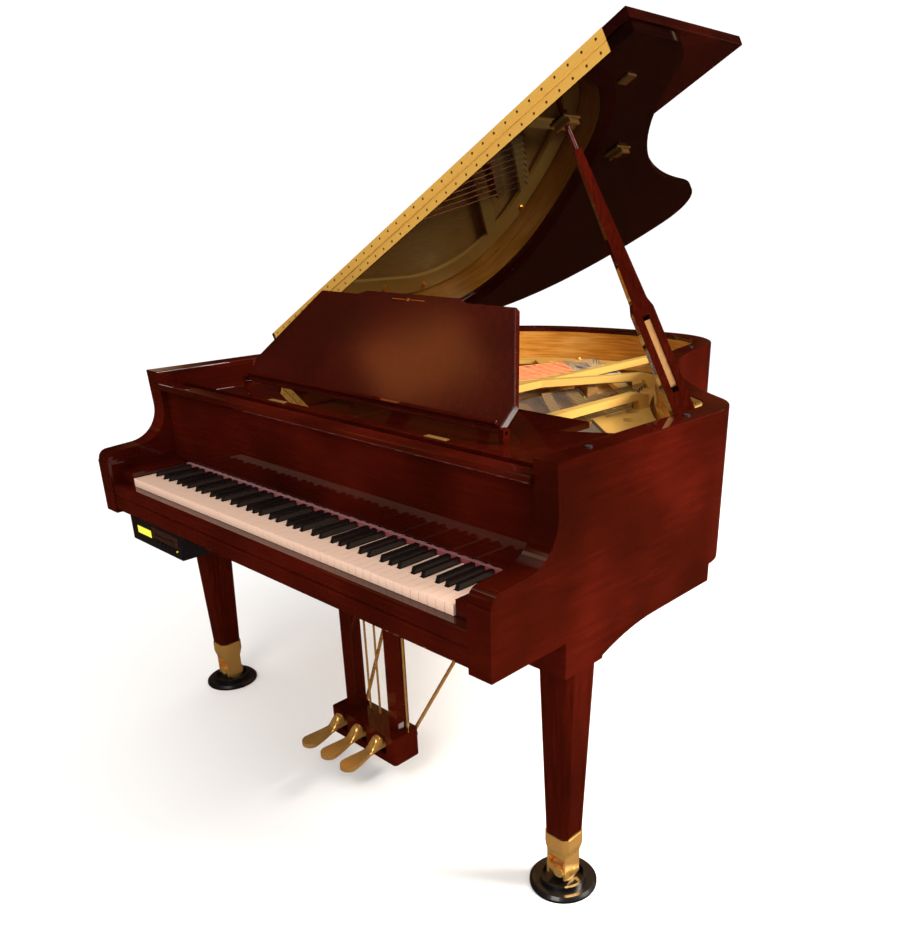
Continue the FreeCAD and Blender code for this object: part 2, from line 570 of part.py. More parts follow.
# Soundboard, ribs and bridges
finish(padded("soundboard", "XY", sheet_edges(-S.rim_wall, S.board_front), "board_bottom", "board_thickness"),
       "soundboard")
inside = solid(sheet_edges(-S.rim_wall - S.inner_rim_wall, S.belly_front + S.belly_depth),
               S.board_bottom - S.rib_height, S.rib_height)
ribs = []
offset_y = S.rib_first
while offset_y < S.case_length + S.rib_reach / 2:
    bar = block(-S.rib_reach, S.rib_reach, -S.rib_width / 2, S.rib_width / 2,
                S.board_bottom - S.rib_height, S.board_bottom)
    bar.rotate(Vector(), Z, -S.rib_turn)
    bar.translate(Y * offset_y)
    piece = bar.common(inside)
    ribs += [part for part in piece.Solids if part.BoundBox.DiagonalLength > S.rib_pitch]
    offset_y += S.rib_pitch
finish(feature("soundboard_ribs", Part.makeCompound(ribs)), "soundboard_ribs")

board_top = S.board_bottom + S.board_thickness
left_x = SECTIONS[0][0] - S.bridge_width / 2
right_x = SECTIONS[-1][1] + S.bridge_width / 2
crest = [Vector(left_x + (right_x - left_x) * a, S.bridge_front + (S.bridge_back - S.bridge_front) * b, 0)
         for a, b in BRIDGE_SHARES]
curve = Part.BSplineCurve()
curve.interpolate(crest)


def bridge_depth(x):
    """How far back the treble bridge lies at a place across the strings."""
    share = min(max((x - left_x) / (right_x - left_x), 0), 1)
    for (a, b), (c, d) in zip(BRIDGE_SHARES, BRIDGE_SHARES[1:]):
        if c <= share <= a:
            return S.bridge_front + (S.bridge_back - S.bridge_front) * (d + (b - d) * (share - c) / (a - c))


spots = curve.toShape().discretize(22)
near = []
far = []
for k, spot in enumerate(spots):
    along = spots[min(k + 1, len(spots) - 1)] - spots[max(k - 1, 0)]
    along.normalize()
    across = Vector(-along.y, along.x, 0) * (S.bridge_width / 2)
    near.append(spot + across)
    far.append(spot - across)
crown = S.treble_height - S.treble_wire - S.wire_rest - board_top
treble_bridge = solid(polygon([(p.x, p.y) for p in near + far[::-1]]), board_top, crown)


# Bass strings: place across at the bearing bar, slant, and where each crosses its bridge
BASS = []
for k in range(BASS_COUNT):
    t = k / (BASS_COUNT - 1)
    x = INNER * (BASS_SHARES[0] + (BASS_SHARES[1] - BASS_SHARES[0]) * t)
    slant = FAN_SHARES[0] + (FAN_SHARES[1] - FAN_SHARES[0]) * t
    BASS.append((x, slant, S.bass_bridge_y - S.bass_bridge_run * t))


def string_x(x, slant, y):
    return x + slant * (y - S.bar_y)


bass_first = Vector(string_x(*BASS[0]), BASS[0][2], 0)
bass_last = Vector(string_x(*BASS[-1]), BASS[-1][2], 0)
bass_way = bass_last - bass_first
bass_way.normalize()
bass_back = Vector(-bass_way.y, bass_way.x, 0)


def bass_band(before, width, extra, base, push):
    """A straight band along the bass bridge, set back from it by a distance."""
    start = bass_first - bass_way * extra + bass_back * (before - width / 2)
    end = bass_last + bass_way * extra + bass_back * (before - width / 2)
    ends = [start, end, end + bass_back * width, start + bass_back * width]
    return solid(polygon([(p.x, p.y) for p in ends]), base, push)


bass_bridge = bass_band(0, S.bridge_width, S.bass_bridge_margin, board_top,
                        S.bass_height - S.bass_wire - S.wire_rest - board_top)
finish(feature("bridges", Part.makeCompound([treble_bridge, bass_bridge])), "bridges")

# Iron plate: web, rim band, hitch rail and raised struts
plate_edge = -S.rim_wall - S.lining_thickness - S.plate_gap
plate_top = S.plate_bottom + S.plate_thickness
web = solid(sheet_edges(plate_edge, S.plate_front), S.plate_bottom, S.plate_thickness)
hollow = solid(sheet_edges(plate_edge - S.plate_band, S.web_back), S.plate_bottom, S.plate_thickness)
rails = [bass_band(away, S.hitch_rail_width, S.case_length, S.plate_bottom, S.plate_thickness).common(web)
         for away in (-S.hitch_rail_before, S.hitch_rail_behind)]
treble_x = STRUT_SHARES[-1] * INNER
web_points = [(x, bridge_depth(x) + S.web_behind) for x in (treble_x, HALF)]
web_points += [(HALF, S.case_length), (treble_x, S.case_length)]
hollow = hollow.cut(solid(polygon(web_points), S.plate_bottom, S.plate_thickness))
port_line = plan(plate_edge - S.port_inset, S.web_back)[0]
spots = Part.Wire(Part.__sortEdges__([edge.toShape() for edge in port_line])).discretize(200)
if spots[0].x < spots[-1].x:
    spots.reverse()
ports = []
for share in PORT_SHARES:
    middle = spots[int(share * len(spots))] + Z * S.plate_bottom
    ports.append(Part.makeCylinder(S.port_radius, S.plate_thickness, middle))
lip = solid(band_edges(plate_edge, plate_edge - S.lip_width, S.board_front), board_top,
            S.plate_bottom - board_top)
bars = [block(SECTIONS[0][0] - S.bar_width, S.bar_side, S.bar_y, S.bar_y + S.bar_width, plate_top,
              S.treble_height - S.treble_wire - S.wire_rest),
        block(-S.bar_side, BASS[-1][0] + S.bar_width, S.bar_y, S.bar_y + S.bar_width, plate_top,
              S.bass_height - S.bass_wire - S.wire_rest)]
struts = []
for share in STRUT_SHARES:
    place = share * INNER
    slant = FAN_SHARES[1] if share == STRUT_SHARES[0] else 0
    low = S.strut_front
    high = S.case_length
    for halving in range(30):
        middle = (low + high) / 2
        if depth_at(place + slant * (middle - S.strut_front), plate_edge - S.strut_foot / 2) > middle:
            low = middle
        else:
            high = middle
    end = (low - S.strut_front) * math.sqrt(1 + slant ** 2)
    shoulder = S.strut_foot + S.strut_seat
    profile = [(0, plate_top), (0, S.strut_top - S.strut_nose), (shoulder, S.strut_top),
               (end - shoulder, S.strut_top), (end, S.strut_top - S.strut_nose), (end, plate_top),
               (end - S.strut_foot, plate_top), (end - shoulder, S.strut_bottom), (shoulder, S.strut_bottom),
               (S.strut_foot, plate_top)]
    bar = side_solid(profile, -S.strut_width / 2, S.strut_width / 2)
    bar.rotate(Vector(), Z, -math.degrees(math.atan(slant)))
    bar.translate(Vector(place, S.strut_front, 0))
    struts.append(bar)
plate = web.cut(hollow).cut(Part.makeCompound(ports)).multiFuse(rails + [lip] + bars + struts)
finish(feature("iron_plate", plate.removeSplitter()), "iron_plate")
finish(box("pinblock", f"-({inner} - pinblock_gap)", f"{inner} - pinblock_gap", "block_front", "block_back",
           "plate_bottom - block_top_thickness", "plate_bottom"), "pinblock")


# Strings, one to a note
def wire(start, finish_point, radius, facets):
    """A thin many-sided bar between two points."""
    way = finish_point - start
    turns = [2 * math.pi * k / facets for k in range(facets)]
    spots = [Vector(radius * math.cos(t), radius * math.sin(t), 0) for t in turns]
    ring = Part.makePolygon(spots + spots[:1])
    bar = Part.Face(ring).extrude(Z * way.Length)
    bar.Placement = Placement(start, Rotation(Z, way))
    return bar


bass_wires = []
for x, slant, bridge_y in BASS:
    ends = [Vector(string_x(x, slant, y), y, S.bass_height) for y in (S.wire_front, bridge_y + S.bass_tail)]
    bass_wires.append(wire(*ends, S.bass_wire, 6))
finish(feature("bass_strings", Part.makeCompound(bass_wires)), "bass_strings")


def plain_end(x):
    """Plain strings stop at the plate's band, or in front of the bass bridge where that lies nearer."""
    rear = depth_at(x, plate_edge - S.plate_band * HITCH_SHARE)
    if x > treble_x:
        rear = min(rear, bridge_depth(x) + S.hitch_behind)
    if x < bass_last.x + S.bridge_width * 2:
        slope = bass_way.y / bass_way.x
        rear = min(rear, S.tenor_end, bass_first.y + (x - bass_first.x) * slope - S.hitch_rail_before)
    return rear


plain_wires = []
PLAIN = []
for low, high, count in SECTIONS:
    for k in range(count):
        x = low + (high - low) * k / (count - 1)
        ends = [Vector(x, y, S.treble_height) for y in (S.wire_front, plain_end(x))]
        plain_wires.append(wire(*ends, S.treble_wire, 4))
        PLAIN.append((x, 0))
finish(feature("treble_strings", Part.makeCompound(plain_wires)), "treble_strings")

# Hammers below the strings and dampers on them
hammers = []
dampers = []
for x, slant in [note[:2] for note in BASS] + PLAIN:
    hit_x = string_x(x, slant, S.hammer_front)
    half = S.hammer_width / 2
    shank_top = S.shank_bottom + S.shank_height
    profile = [(S.hammer_rail_back, S.shank_bottom), (S.hammer_back, S.shank_bottom),
               (S.hammer_back, S.hammer_top), (S.hammer_front, S.hammer_top), (S.hammer_front, shank_top),
               (S.hammer_rail_back, shank_top)]
    hammers.append(side_solid(profile, hit_x - half, hit_x + half))
    if x < SECTIONS[2][0]:
        middle = string_x(x, slant, (S.damper_front + S.damper_back) / 2)
        base = (S.bass_height + S.bass_wire if slant else S.treble_height + S.treble_wire) + S.wire_rest
        half = S.damper_width / 2
        top = base + S.damper_tall
        profile = [(S.damper_front, base), (S.damper_back, base), (S.damper_back, top),
                   (S.damper_front + S.damper_notch, top), (S.damper_front, base + S.damper_notch)]
        dampers.append(side_solid(profile, middle - half, middle + half))
finish(feature("hammers", Part.makeCompound(hammers)), "hammers")
finish(feature("dampers", Part.makeCompound(dampers)), "dampers")

# Keys
keyboard_width = S.keyboard_half * 2
white_width = keyboard_width / 52
key_bottom = S.key_top - S.key_height
key_back = S.key_front + S.key_length
head_back = S.key_front + S.key_head
whites = []
blacks = []
white_index = 0
GROUP_STEP = {0: 0, 2: 1, 4: 2, 5: 0, 7: 1, 9: 2, 11: 3, 1: 0, 3: 1, 6: 0, 8: 1, 10: 2}
for note in range(88):
    tone = (note + 9) % 12
    is_white = tone in WHITE_CLASSES
    left = -S.keyboard_half + (white_index if is_white else white_index - 1) * white_width
    group = left - GROUP_STEP[tone] * white_width
    tail = white_width * (3 / 5 if tone < 5 else 4 / 7)
    slot = tone if tone < 5 else tone - 5
    tail_left = group + slot * tail + S.key_gap / 2
    tail_right = group + (slot + 1) * tail - S.key_gap / 2
    if is_white:
        head_left = left + S.key_gap / 2
        head_right = left + white_width - S.key_gap / 2
        if note == 0:
            tail_left = head_left
        if note == 87:
            tail_right = head_right
        points = [(head_left, S.key_front), (head_right, S.key_front), (head_right, head_back),
                  (tail_right, head_back), (tail_right, key_back), (tail_left, key_back),
                  (tail_left, head_back), (head_left, head_back)]
        key = solid(polygon(points), key_bottom, S.key_height)
        white_index += 1
    else:
        middle = (tail_left + tail_right) / 2
        stick = block(tail_left, tail_right, S.sharp_front, key_back, key_bottom, S.key_top)
        profile = [(S.sharp_front, S.key_top), (S.sharp_front + S.sharp_bevel, S.key_top + S.sharp_height),
                   (S.sharp_back, S.key_top + S.sharp_height), (S.sharp_back, S.key_top)]
        key = stick.fuse(side_solid(profile, middle - S.sharp_width / 2, middle + S.sharp_width / 2))
    if note in LOOSE_KEYS:
        finish(feature(LOOSE_KEYS[note], key), LOOSE_KEYS[note])
    elif is_white:
        whites.append(key)
    else:
        blacks.append(key)
finish(feature("white_keys", Part.makeCompound(whites)), "white_keys")
finish(feature("black_keys", Part.makeCompound(blacks)), "black_keys")

# Key frame with its rails, action brackets and hammer rail
span = "keyboard_half"
floor = "keybed_top + frame_clear"
rails = [box("front_rail", f"-{span}", span, "front_rail_y - front_rail_width / 2",
             "front_rail_y + front_rail_width / 2", floor, "front_rail_top"),
         box("back_rail", f"-{span}", span, "back_rail_y - back_rail_width / 2",
             "back_rail_y + back_rail_width / 2", floor, "key_top - key_height - key_clear")]
ridge = S.keybed_top + S.frame_clear
balance = [(S.key_pivot - S.balance_base / 2, ridge), (S.key_pivot + S.balance_base / 2, ridge),
           (S.key_pivot + S.balance_width / 2, key_bottom - S.key_clear),
           (S.key_pivot - S.balance_width / 2, key_bottom - S.key_clear)]
rails.append(padded("balance_rail", "YZ", polygon(balance), f"-{span}", f"{span} * 2"))
rails.append(box("hammer_rail", f"-{span}", span, "hammer_rail_front", "hammer_rail_back", "bracket_arm_top",
                 "hammer_rail_top"))
for number, share in enumerate(BRACKET_SHARES):
    middle = f"keyboard_half * {share}"
    low = f"{middle} - bracket_width / 2"
    high = f"{middle} + bracket_width / 2"
    upright = box(f"bracket_post{number}", low, high, "bracket_back - bracket_post", "bracket_back",
                  "key_top - key_height - key_clear", "bracket_arm_top")
    arm = box(f"bracket_arm{number}", low, high, "hammer_rail_front", "bracket_back",
              "bracket_arm_top - bracket_arm_height", "bracket_arm_top")
    rails.append(fuse(f"action_bracket{number}", upright, arm))
finish(gather("key_frame", *rails), "key_frame")

# Fallboard with its pivot pins and nosing
fall_half = f"({inner} - fall_gap)"
fall_rear = S.fall_face + S.fall_thickness
panel = padded("fall_panel", "YZ", polygon([
    (S.fall_face, S.fall_bottom), (fall_rear, S.fall_bottom), (fall_rear, S.fall_top),
    (S.fall_face, S.fall_top)]), f"-{fall_half}", f"{fall_half} * 2",
    [("fall_round", lambda e: level(S.fall_top)(e) and all(
        abs(v.Y - S.fall_face - S.fall_thickness) < S.key_clear for v in e.Vertexes))])
PIN_STARTS = {"treble": fall_half, "bass": f"-{fall_half} - fall_pin_reach"}
pins = [rod(f"fall_pin_{end}", "fall_pin", (start, "fall_pivot_y", "fall_pivot_z"), "fall_pin_reach", X)
        for end, start in PIN_STARTS.items()]
finish(fuse("fallboard", panel, *pins), "fallboard")
nosing_low = S.fall_top - S.nosing_height
nosing_front = S.fall_face - S.nosing_reach
finish(padded("fallboard_nosing", "YZ", polygon([
    (nosing_front, nosing_low), (S.fall_face, nosing_low), (S.fall_face, S.fall_top),
    (nosing_front, S.fall_top)]), f"-{fall_half}", f"{fall_half} * 2",
    [("nosing_round", lambda e: all(abs(v.Y - S.fall_face + S.nosing_reach) < S.key_clear for v in e.Vertexes)
      and abs(e.Vertexes[0].X - e.Vertexes[1].X) > S.nosing_reach)]), "fallboard_nosing")

# Music desk: rails, tray, panel and strut
rail_out = f"({inner} - lining_thickness)"
rail_top = "tray_bottom - rail_clear"
desk_rails = [box("desk_rail_treble", f"{rail_out} - rail_width", rail_out, "rail_front", "rail_back",
                  f"{rail_top} - rail_height", rail_top),
              box("desk_rail_bass", f"-{rail_out}", f"-{rail_out} + rail_width", "rail_front", "rail_back",
                  f"{rail_top} - rail_height", rail_top)]
finish(gather("desk_rails", *desk_rails), "desk_rails")
bar_back = S.tray_front + S.tray_bar
run_in = S.tray_side - S.tray_runner
tray_points = [(-S.tray_side, S.tray_front), (S.tray_side, S.tray_front), (S.tray_side, S.tray_runner_back),
               (run_in, S.tray_runner_back), (run_in, bar_back), (S.tray_inner, bar_back),
               (S.tray_inner, S.tray_back), (-S.tray_inner, S.tray_back), (-S.tray_inner, bar_back),
               (-run_in, bar_back), (-run_in, S.tray_runner_back), (-S.tray_side, S.tray_runner_back)]
tray_top = "tray_bottom + tray_thickness"
tray = padded("tray_board", "XY", polygon(tray_points), "tray_bottom", "tray_thickness")
lugs = []
for k, low in ((1, "desk_base + desk_lug_gap"), (-1, "-desk_base - desk_lug_gap - desk_lug")):
    lug = box(f"desk_lug{k + 1}", low, f"{low} + desk_lug", "desk_y - desk_lug_depth / 2",
              "desk_y + desk_lug_depth / 2", tray_top, "desk_lug_top")
    hole = rod(f"desk_lug_bore{k + 1}", "desk_pin + pin_play", (low, "desk_y", "desk_z"), "desk_lug", X)
    lugs.append(cut(f"desk_ear{k + 1}", lug, hole))
finish(fuse("desk_tray", tray, *lugs), "desk_tray")

# Panel drawn flat: x across, y up the panel, z out of its face towards the player
desk_outline = [(-S.desk_base, S.desk_start), (S.desk_base, S.desk_start), (S.desk_knee, S.desk_knee_height),
                (S.desk_top_half, S.desk_height), (S.desk_crown + S.desk_crown_step, S.desk_height),
                (S.desk_crown, S.desk_height + S.desk_crown_rise),
                (-S.desk_crown, S.desk_height + S.desk_crown_rise),
                (-S.desk_crown - S.desk_crown_step, S.desk_height), (-S.desk_top_half, S.desk_height),
                (-S.desk_knee, S.desk_knee_height)]
desk_board = padded("desk_board", "XY", polygon(desk_outline), "-desk_thickness / 2", "desk_thickness",
                    [("desk_round", lambda e: level(S.desk_thickness / 2)(e))])
hinge_bar = rod("desk_hinge_bar", "desk_pin", ("-desk_base - desk_pin_reach", "0", "0"),
                "(desk_base + desk_pin_reach) * 2", X)
heel = box("desk_heel", "-desk_base", "desk_base", "0", "desk_start", "-desk_pin", "desk_pin")
ear_z = "-strut_offset - strut_thick / 2"
ears = []
for k, low in ((1, "strut_half + strut_ear_gap"), (-1, "-strut_half - strut_ear_gap - strut_ear")):
    ear = box(f"strut_ear{k + 1}", low, f"{low} + strut_ear", "strut_pivot - strut_ear / 2",
              "strut_pivot + strut_ear / 2", ear_z, "-desk_thickness / 2")
    hole = rod(f"strut_ear_bore{k + 1}", "strut_pin + pin_play", (low, "strut_pivot", "-strut_offset"),
               "strut_ear", X)
    ears.append(cut(f"strut_lug{k + 1}", ear, hole))
desk = fuse("desk_panel", desk_board, hinge_bar, heel, *ears)
desk_place = Placement(Vector(0, S.desk_y, S.desk_z), Rotation(X, S.desk_rise))
desk.Placement = desk_place
finish(desk, "desk_panel")
half_thick = S.strut_thick / 2
prop_angle = S.desk_rise + S.strut_fall
strut_plate = block(-S.strut_half, S.strut_half, 0, S.strut_length, -half_thick, half_thick)
strut_bar = Part.makeCylinder(S.strut_pin, (S.strut_half + S.strut_ear_gap + S.strut_ear) * 2,
                              Vector(-S.strut_half - S.strut_ear_gap - S.strut_ear, 0, 0), X)
strut_eye = Part.makeCylinder(half_thick, S.strut_half * 2, Vector(-S.strut_half, 0, 0), X)
strut_shape = strut_plate.multiFuse([strut_eye, strut_bar])
strut_foot = Vector(0, S.strut_pivot, -S.strut_offset)
strut_place = desk_place.multiply(Placement(strut_foot, Rotation(X, -prop_angle)))
finish(feature("desk_strut", strut_shape, strut_place), "desk_strut")

# Lid, drawn closed about its hinge line: x across from the hinge, y as in the case, z out of the lid
HINGE_X = -HALF - S.hinge_out
hinge_place = Placement(Vector(HINGE_X, 0, S.rim_top + S.hinge_up), Rotation(Y, -S.lid_angle))
lid_left = S.hinge_out + S.lid_inset
lid_front = STRAIGHT - S.lid_lead
fold_axis = lid_front - S.fold_ahead


def across(edges):
    for edge in edges:
        edge.translate(Vector(-HINGE_X, 0, 0))
    return edges


lid_edges = across(sheet_edges(S.lid_overhang, lid_front, HINGE_X + lid_left))
lid_top = S.lid_lift + S.lid_thickness
lid = padded("main_lid", "XY", lid_edges, "lid_lift", "lid_thickness",
             [("lid_round", lambda e: level(S.lid_lift)(e) or level(lid_top)(e))])
lid.Placement = hinge_place
finish(lid, "main_lid")
fold_z = lid_top + S.fold_gap / 2
flap_low = fold_z + S.fold_gap / 2
lid_right = -HINGE_X + HALF + S.lid_overhang
flap_depth = fold_axis - S.flap_front
flap_back = fold_axis + flap_depth
flap_edges = polygon([(lid_left, lid_front), (lid_right, lid_front), (lid_right, flap_back),
                      (lid_left, flap_back)])
flap = padded("lid_flap", "XY", flap_edges, "lid_lift + lid_thickness + fold_gap", "lid_thickness",
              [("lid_round", lambda e: level(flap_low)(e) or level(flap_low + S.lid_thickness)(e))])
flap.Placement = hinge_place
finish(flap, "lid_flap")

# Long hinge between lid and flap
leaf_front = fold_axis + S.fold_seat
leaf_back = lid_front
fold_end = lid_right - S.fold_margin
pitch = (fold_end - S.fold_start) / KNUCKLES


def fold_leaf(sign, first):
    """One leaf with every second knuckle; sign is -1 for the lid's leaf and 1 for the flap's."""
    near_z = fold_z + sign * (S.fold_gap / 2 - S.fold_leaf_clear)
    far_z = fold_z + sign * (S.fold_gap / 2 + S.lid_thickness - S.fold_leaf_margin)
    members = [block(S.fold_start, fold_end, leaf_front, leaf_back, min(near_z, far_z), max(near_z, far_z))]
    for number in range(first, KNUCKLES, 2):
        low = S.fold_start + number * pitch + S.knuckle_gap / 2
        high = low + pitch - S.knuckle_gap
        mid_z = fold_z + sign * S.knuckle_pin
        members.append(block(low, high, leaf_front, leaf_back, min(near_z, mid_z), max(near_z, mid_z)))
        members.append(Part.makeCylinder(S.knuckle_radius, high - low, Vector(low, fold_axis, fold_z), X))
    return members[0].multiFuse(members[1:])


lid_leaf = fold_leaf(-1, 0)
bore = Part.makeCylinder(S.knuckle_pin + S.knuckle_play, fold_end - S.fold_start,
                         Vector(S.fold_start, fold_axis, fold_z), X)
lid_leaf = lid_leaf.cut(bore)
pin_start = S.fold_start + S.knuckle_gap
flap_leaf = fold_leaf(1, 1).fuse(Part.makeCylinder(S.knuckle_pin, fold_end - S.knuckle_gap - pin_start,
                                                   Vector(pin_start, fold_axis, fold_z), X))
finish(feature("flap_hinge_leaf", flap_leaf, hinge_place), "flap_hinge_leaf")

# Butt hinges on the spine; the rim's leaves carry the pins and the outer knuckles
rim_leaves = []
lid_fittings = [lid_leaf]
for number in (0, 1):
    start = lid_front + S.spine_first + S.spine_pitch * number
    end = start + S.spine_length
    low = start + (S.spine_length - S.spine_middle) / 2
    high = low + S.spine_middle
    clear = S.spine_knuckle + S.spine_clear
    members = [block(clear, S.spine_leaf_reach, start, end, -S.hinge_up, S.spine_leaf - S.hinge_up)]
    for a, b in ((start, low - S.spine_gap), (high + S.spine_gap, end)):
        members.append(Part.makeCylinder(S.spine_knuckle, b - a, Vector(0, a, 0), Y))
        members.append(block(0, clear, a, b, -S.hinge_up, S.spine_leaf - S.hinge_up))
    members.append(Part.makeCylinder(S.spine_pin, S.spine_length, Vector(0, start, 0), Y))
    leaf = members[0].multiFuse(members[1:])
    leaf.translate(Vector(HINGE_X, 0, S.rim_top + S.hinge_up))
    rim_leaves.append(leaf)
    upper = S.lid_lift - S.spine_leaf
    members = [block(clear, S.spine_leaf_reach, start, end, upper, S.lid_lift),
               block(0, clear, low, high, upper, S.lid_lift),
               Part.makeCylinder(S.spine_knuckle, high - low, Vector(0, low, 0), Y)]
    leaf = members[0].multiFuse(members[1:])
    eye = Part.makeCylinder(S.spine_pin + S.pin_play, high - low, Vector(0, low, 0), Y)
    lid_fittings.append(leaf.cut(eye))


def prop_rest(middle, y):
    """Brass plate under the lid with a stop on the two sides that the prop leans against."""
    plate_low = S.lid_lift - S.cup_plate
    stop_low = plate_low - S.cup_stop
    half = S.cup_width / 2
    rear = y + S.cup_length / 2
    inside = middle + S.cup_space
    base = block(middle - half, middle + half, y - S.cup_length / 2, rear, plate_low, S.lid_lift)
    front = y - S.cup_space
    near_stop = block(middle - half, middle + half, front - S.cup_wall, front, stop_low, plate_low)
    far_stop = block(inside, inside + S.cup_wall, front, rear, stop_low, plate_low)
    return base.multiFuse([near_stop, far_stop])


cup_across = lid_right - S.cup_inset
cup_y = lid_front + S.cup_behind
latch_across = lid_right - S.latch_inset
latch_y = lid_front + S.latch_behind
half = S.latch_size / 2
lid_fittings.append(prop_rest(cup_across, cup_y))
lid_fittings.append(prop_rest(lid_right - S.short_inset, lid_front + S.short_behind))
lid_fittings.append(block(latch_across - half, latch_across + half, latch_y - half, latch_y + half,
                          S.lid_lift - S.cup_plate, S.lid_lift))
finish(feature("lid_hardware", Part.makeCompound(lid_fittings), hinge_place), "lid_hardware")

# Long prop: z along the stick, x along its pivot, y towards its slotted edge
foot = Vector(S.prop_x, STRAIGHT + S.prop_past, S.prop_z)
rest = hinge_place.multVec(Vector(cup_across, cup_y, S.lid_lift - S.cup_plate - S.prop_tip_clear))
stick_way = rest - foot
stick_length = stick_way.Length
stick_way.normalize()
fold_way = Vector(*cosines(S.prop_fold_turn), *sines(S.prop_fold_turn), 0)
pivot_way = stick_way.cross(fold_way)
pivot_way.normalize()
edge_way = stick_way.cross(pivot_way)
prop_place = Placement(foot, Rotation(pivot_way, edge_way, stick_way, "ZXY"))
wide = S.prop_wide / 2
deep = S.prop_deep / 2
waist = S.prop_waist / 2
neck = S.prop_neck / 2


def ring_at(half_x, half_y, height):
    spots = [Vector(a * half_x, b * half_y, height) for a, b in ((-1, -1), (1, -1), (1, 1), (-1, 1))]
    return Part.makePolygon(spots + spots[:1])


shoulder = S.prop_board + S.prop_shoulder
point = stick_length - S.prop_point
stick = block(-wide, wide, -deep, deep, -S.prop_heel, S.prop_board)
stick = stick.multiFuse([
    Part.makeLoft([ring_at(wide, deep, S.prop_board), ring_at(waist, deep, shoulder)], True, True),
    Part.makeLoft([ring_at(waist, deep, shoulder), ring_at(neck, neck, point)], True, True),
    Part.makeCylinder(S.prop_tip_radius, S.prop_point, Vector(0, 0, point))])
groove = block(-S.slot_width / 2, S.slot_width / 2, S.slot_floor, deep, S.slot_start, S.slot_end)
half_pin = Part.makeCylinder(S.half_pin, S.prop_wide, Vector(-wide, S.half_depth, S.half_pivot), X)
stick = stick.cut(groove).fuse(half_pin)
stick = stick.cut(Part.makeCylinder(S.prop_pin + S.prop_pin_play, S.prop_wide, Vector(-wide, 0, 0), X))
finish(feature("prop_stick", stick, prop_place), "prop_stick")
half = S.half_width / 2
short = block(-half, half, -S.half_thick / 2, S.half_thick / 2, 0, S.half_length)
short = short.fuse(Part.makeCylinder(S.half_thick / 2, S.half_width, Vector(-half, 0, 0), X))
short = short.cut(Part.makeCylinder(S.half_pin + S.pin_play, S.half_width, Vector(-half, 0, 0), X))
half_place = prop_place.multiply(Placement(Vector(0, S.half_depth, S.half_pivot), Rotation()))
finish(feature("half_stick", short, half_place), "half_stick")
mount = Part.makeCylinder(S.mount_radius, S.mount_reach, Vector(-wide - S.mount_clear, 0, 0), X * -1)
pin_end = Vector(-wide - S.mount_clear * 2, 0, 0)
mount = mount.fuse(Part.makeCylinder(S.prop_pin, S.prop_wide + S.mount_clear * 2, pin_end, X))
mount.Placement = prop_place
room = solid(sheet_edges(-S.rim_wall - S.lining_thickness, S.lining_front), S.board_bottom, S.rim_top)
mount = mount.common(room)
finish(feature("rim_hardware", Part.makeCompound(rim_leaves + [mount])), "rim_hardware")


# Legs, ferrules, casters and cups
def eight(width, chamfer, height):
    half = width / 2
    low = half - chamfer
    spots = [Vector(x, y, height) for x, y in (
        (-low, -half), (low, -half), (half, -low), (half, low),
        (low, half), (-low, half), (-half, low), (-half, -low))]
    return Part.makePolygon(spots + spots[:1])


LEG_PLACES = {"left": Vector(-S.leg_x, S.leg_y, 0), "right": Vector(S.leg_x, S.leg_y, 0),
              "rear": Vector(S.rear_leg_x, S.rear_leg_y, 0)}
slim = S.leg_bottom_width / S.leg_top_width
leg_shape = Part.makeLoft([eight(S.leg_bottom_width, S.leg_chamfer * slim, S.leg_bottom),
                           eight(S.leg_top_width, S.leg_chamfer, S.block_bottom)], True, True)
grow = S.ferrule_clear * 2
leg_room = Part.makeLoft([eight(S.leg_bottom_width + grow, S.leg_chamfer * slim, S.leg_bottom),
                          eight(S.leg_top_width + grow, S.leg_chamfer, S.block_bottom)], True, True)
ferrule = Part.makeLoft([eight(S.ferrule_low, S.leg_chamfer * slim, S.ferrule_bottom),
                         eight(S.ferrule_wide, S.leg_chamfer, S.ferrule_step)], True, True)
ferrule = ferrule.fuse(Part.makeLoft([eight(S.ferrule_wide, S.leg_chamfer, S.ferrule_step),
                                      eight(S.ferrule_wide, S.leg_chamfer, S.ferrule_top)], True, True))
ferrule = ferrule.cut(leg_room).cut(Part.makeCylinder(
    S.stem_radius + S.stem_play, S.stem_height, Vector(0, 0, S.ferrule_bottom)))
cup_edge = Part.makeCone(S.cup_radius, S.cup_radius - S.cup_bevel, S.cup_base - S.cup_bevel, Z * S.cup_bevel)
cup = Part.makeCylinder(S.cup_radius, S.cup_bevel).fuse(cup_edge)
cup = cup.fuse(Part.makeCylinder(S.cup_ring, S.cup_ring_top)).cut(
    Part.makeCylinder(S.cup_recess, S.cup_ring_top, Vector(0, 0, S.cup_floor)))
axle_z = S.cup_floor + S.wheel_lift + S.wheel_radius
yoke_top = S.ferrule_bottom - S.yoke_gap
fork_in = S.wheel_width / 2 + S.wheel_gap
fork_out = fork_in + S.fork_thickness
yoke = Part.makeCylinder(S.yoke_radius, S.yoke_plate, Vector(0, 0, yoke_top - S.yoke_plate))
stem_length = S.yoke_gap + S.stem_height - S.wheel_gap
brake_z = axle_z + S.brake_up
brake_back = Vector(S.brake_side, -S.fork_front, brake_z)
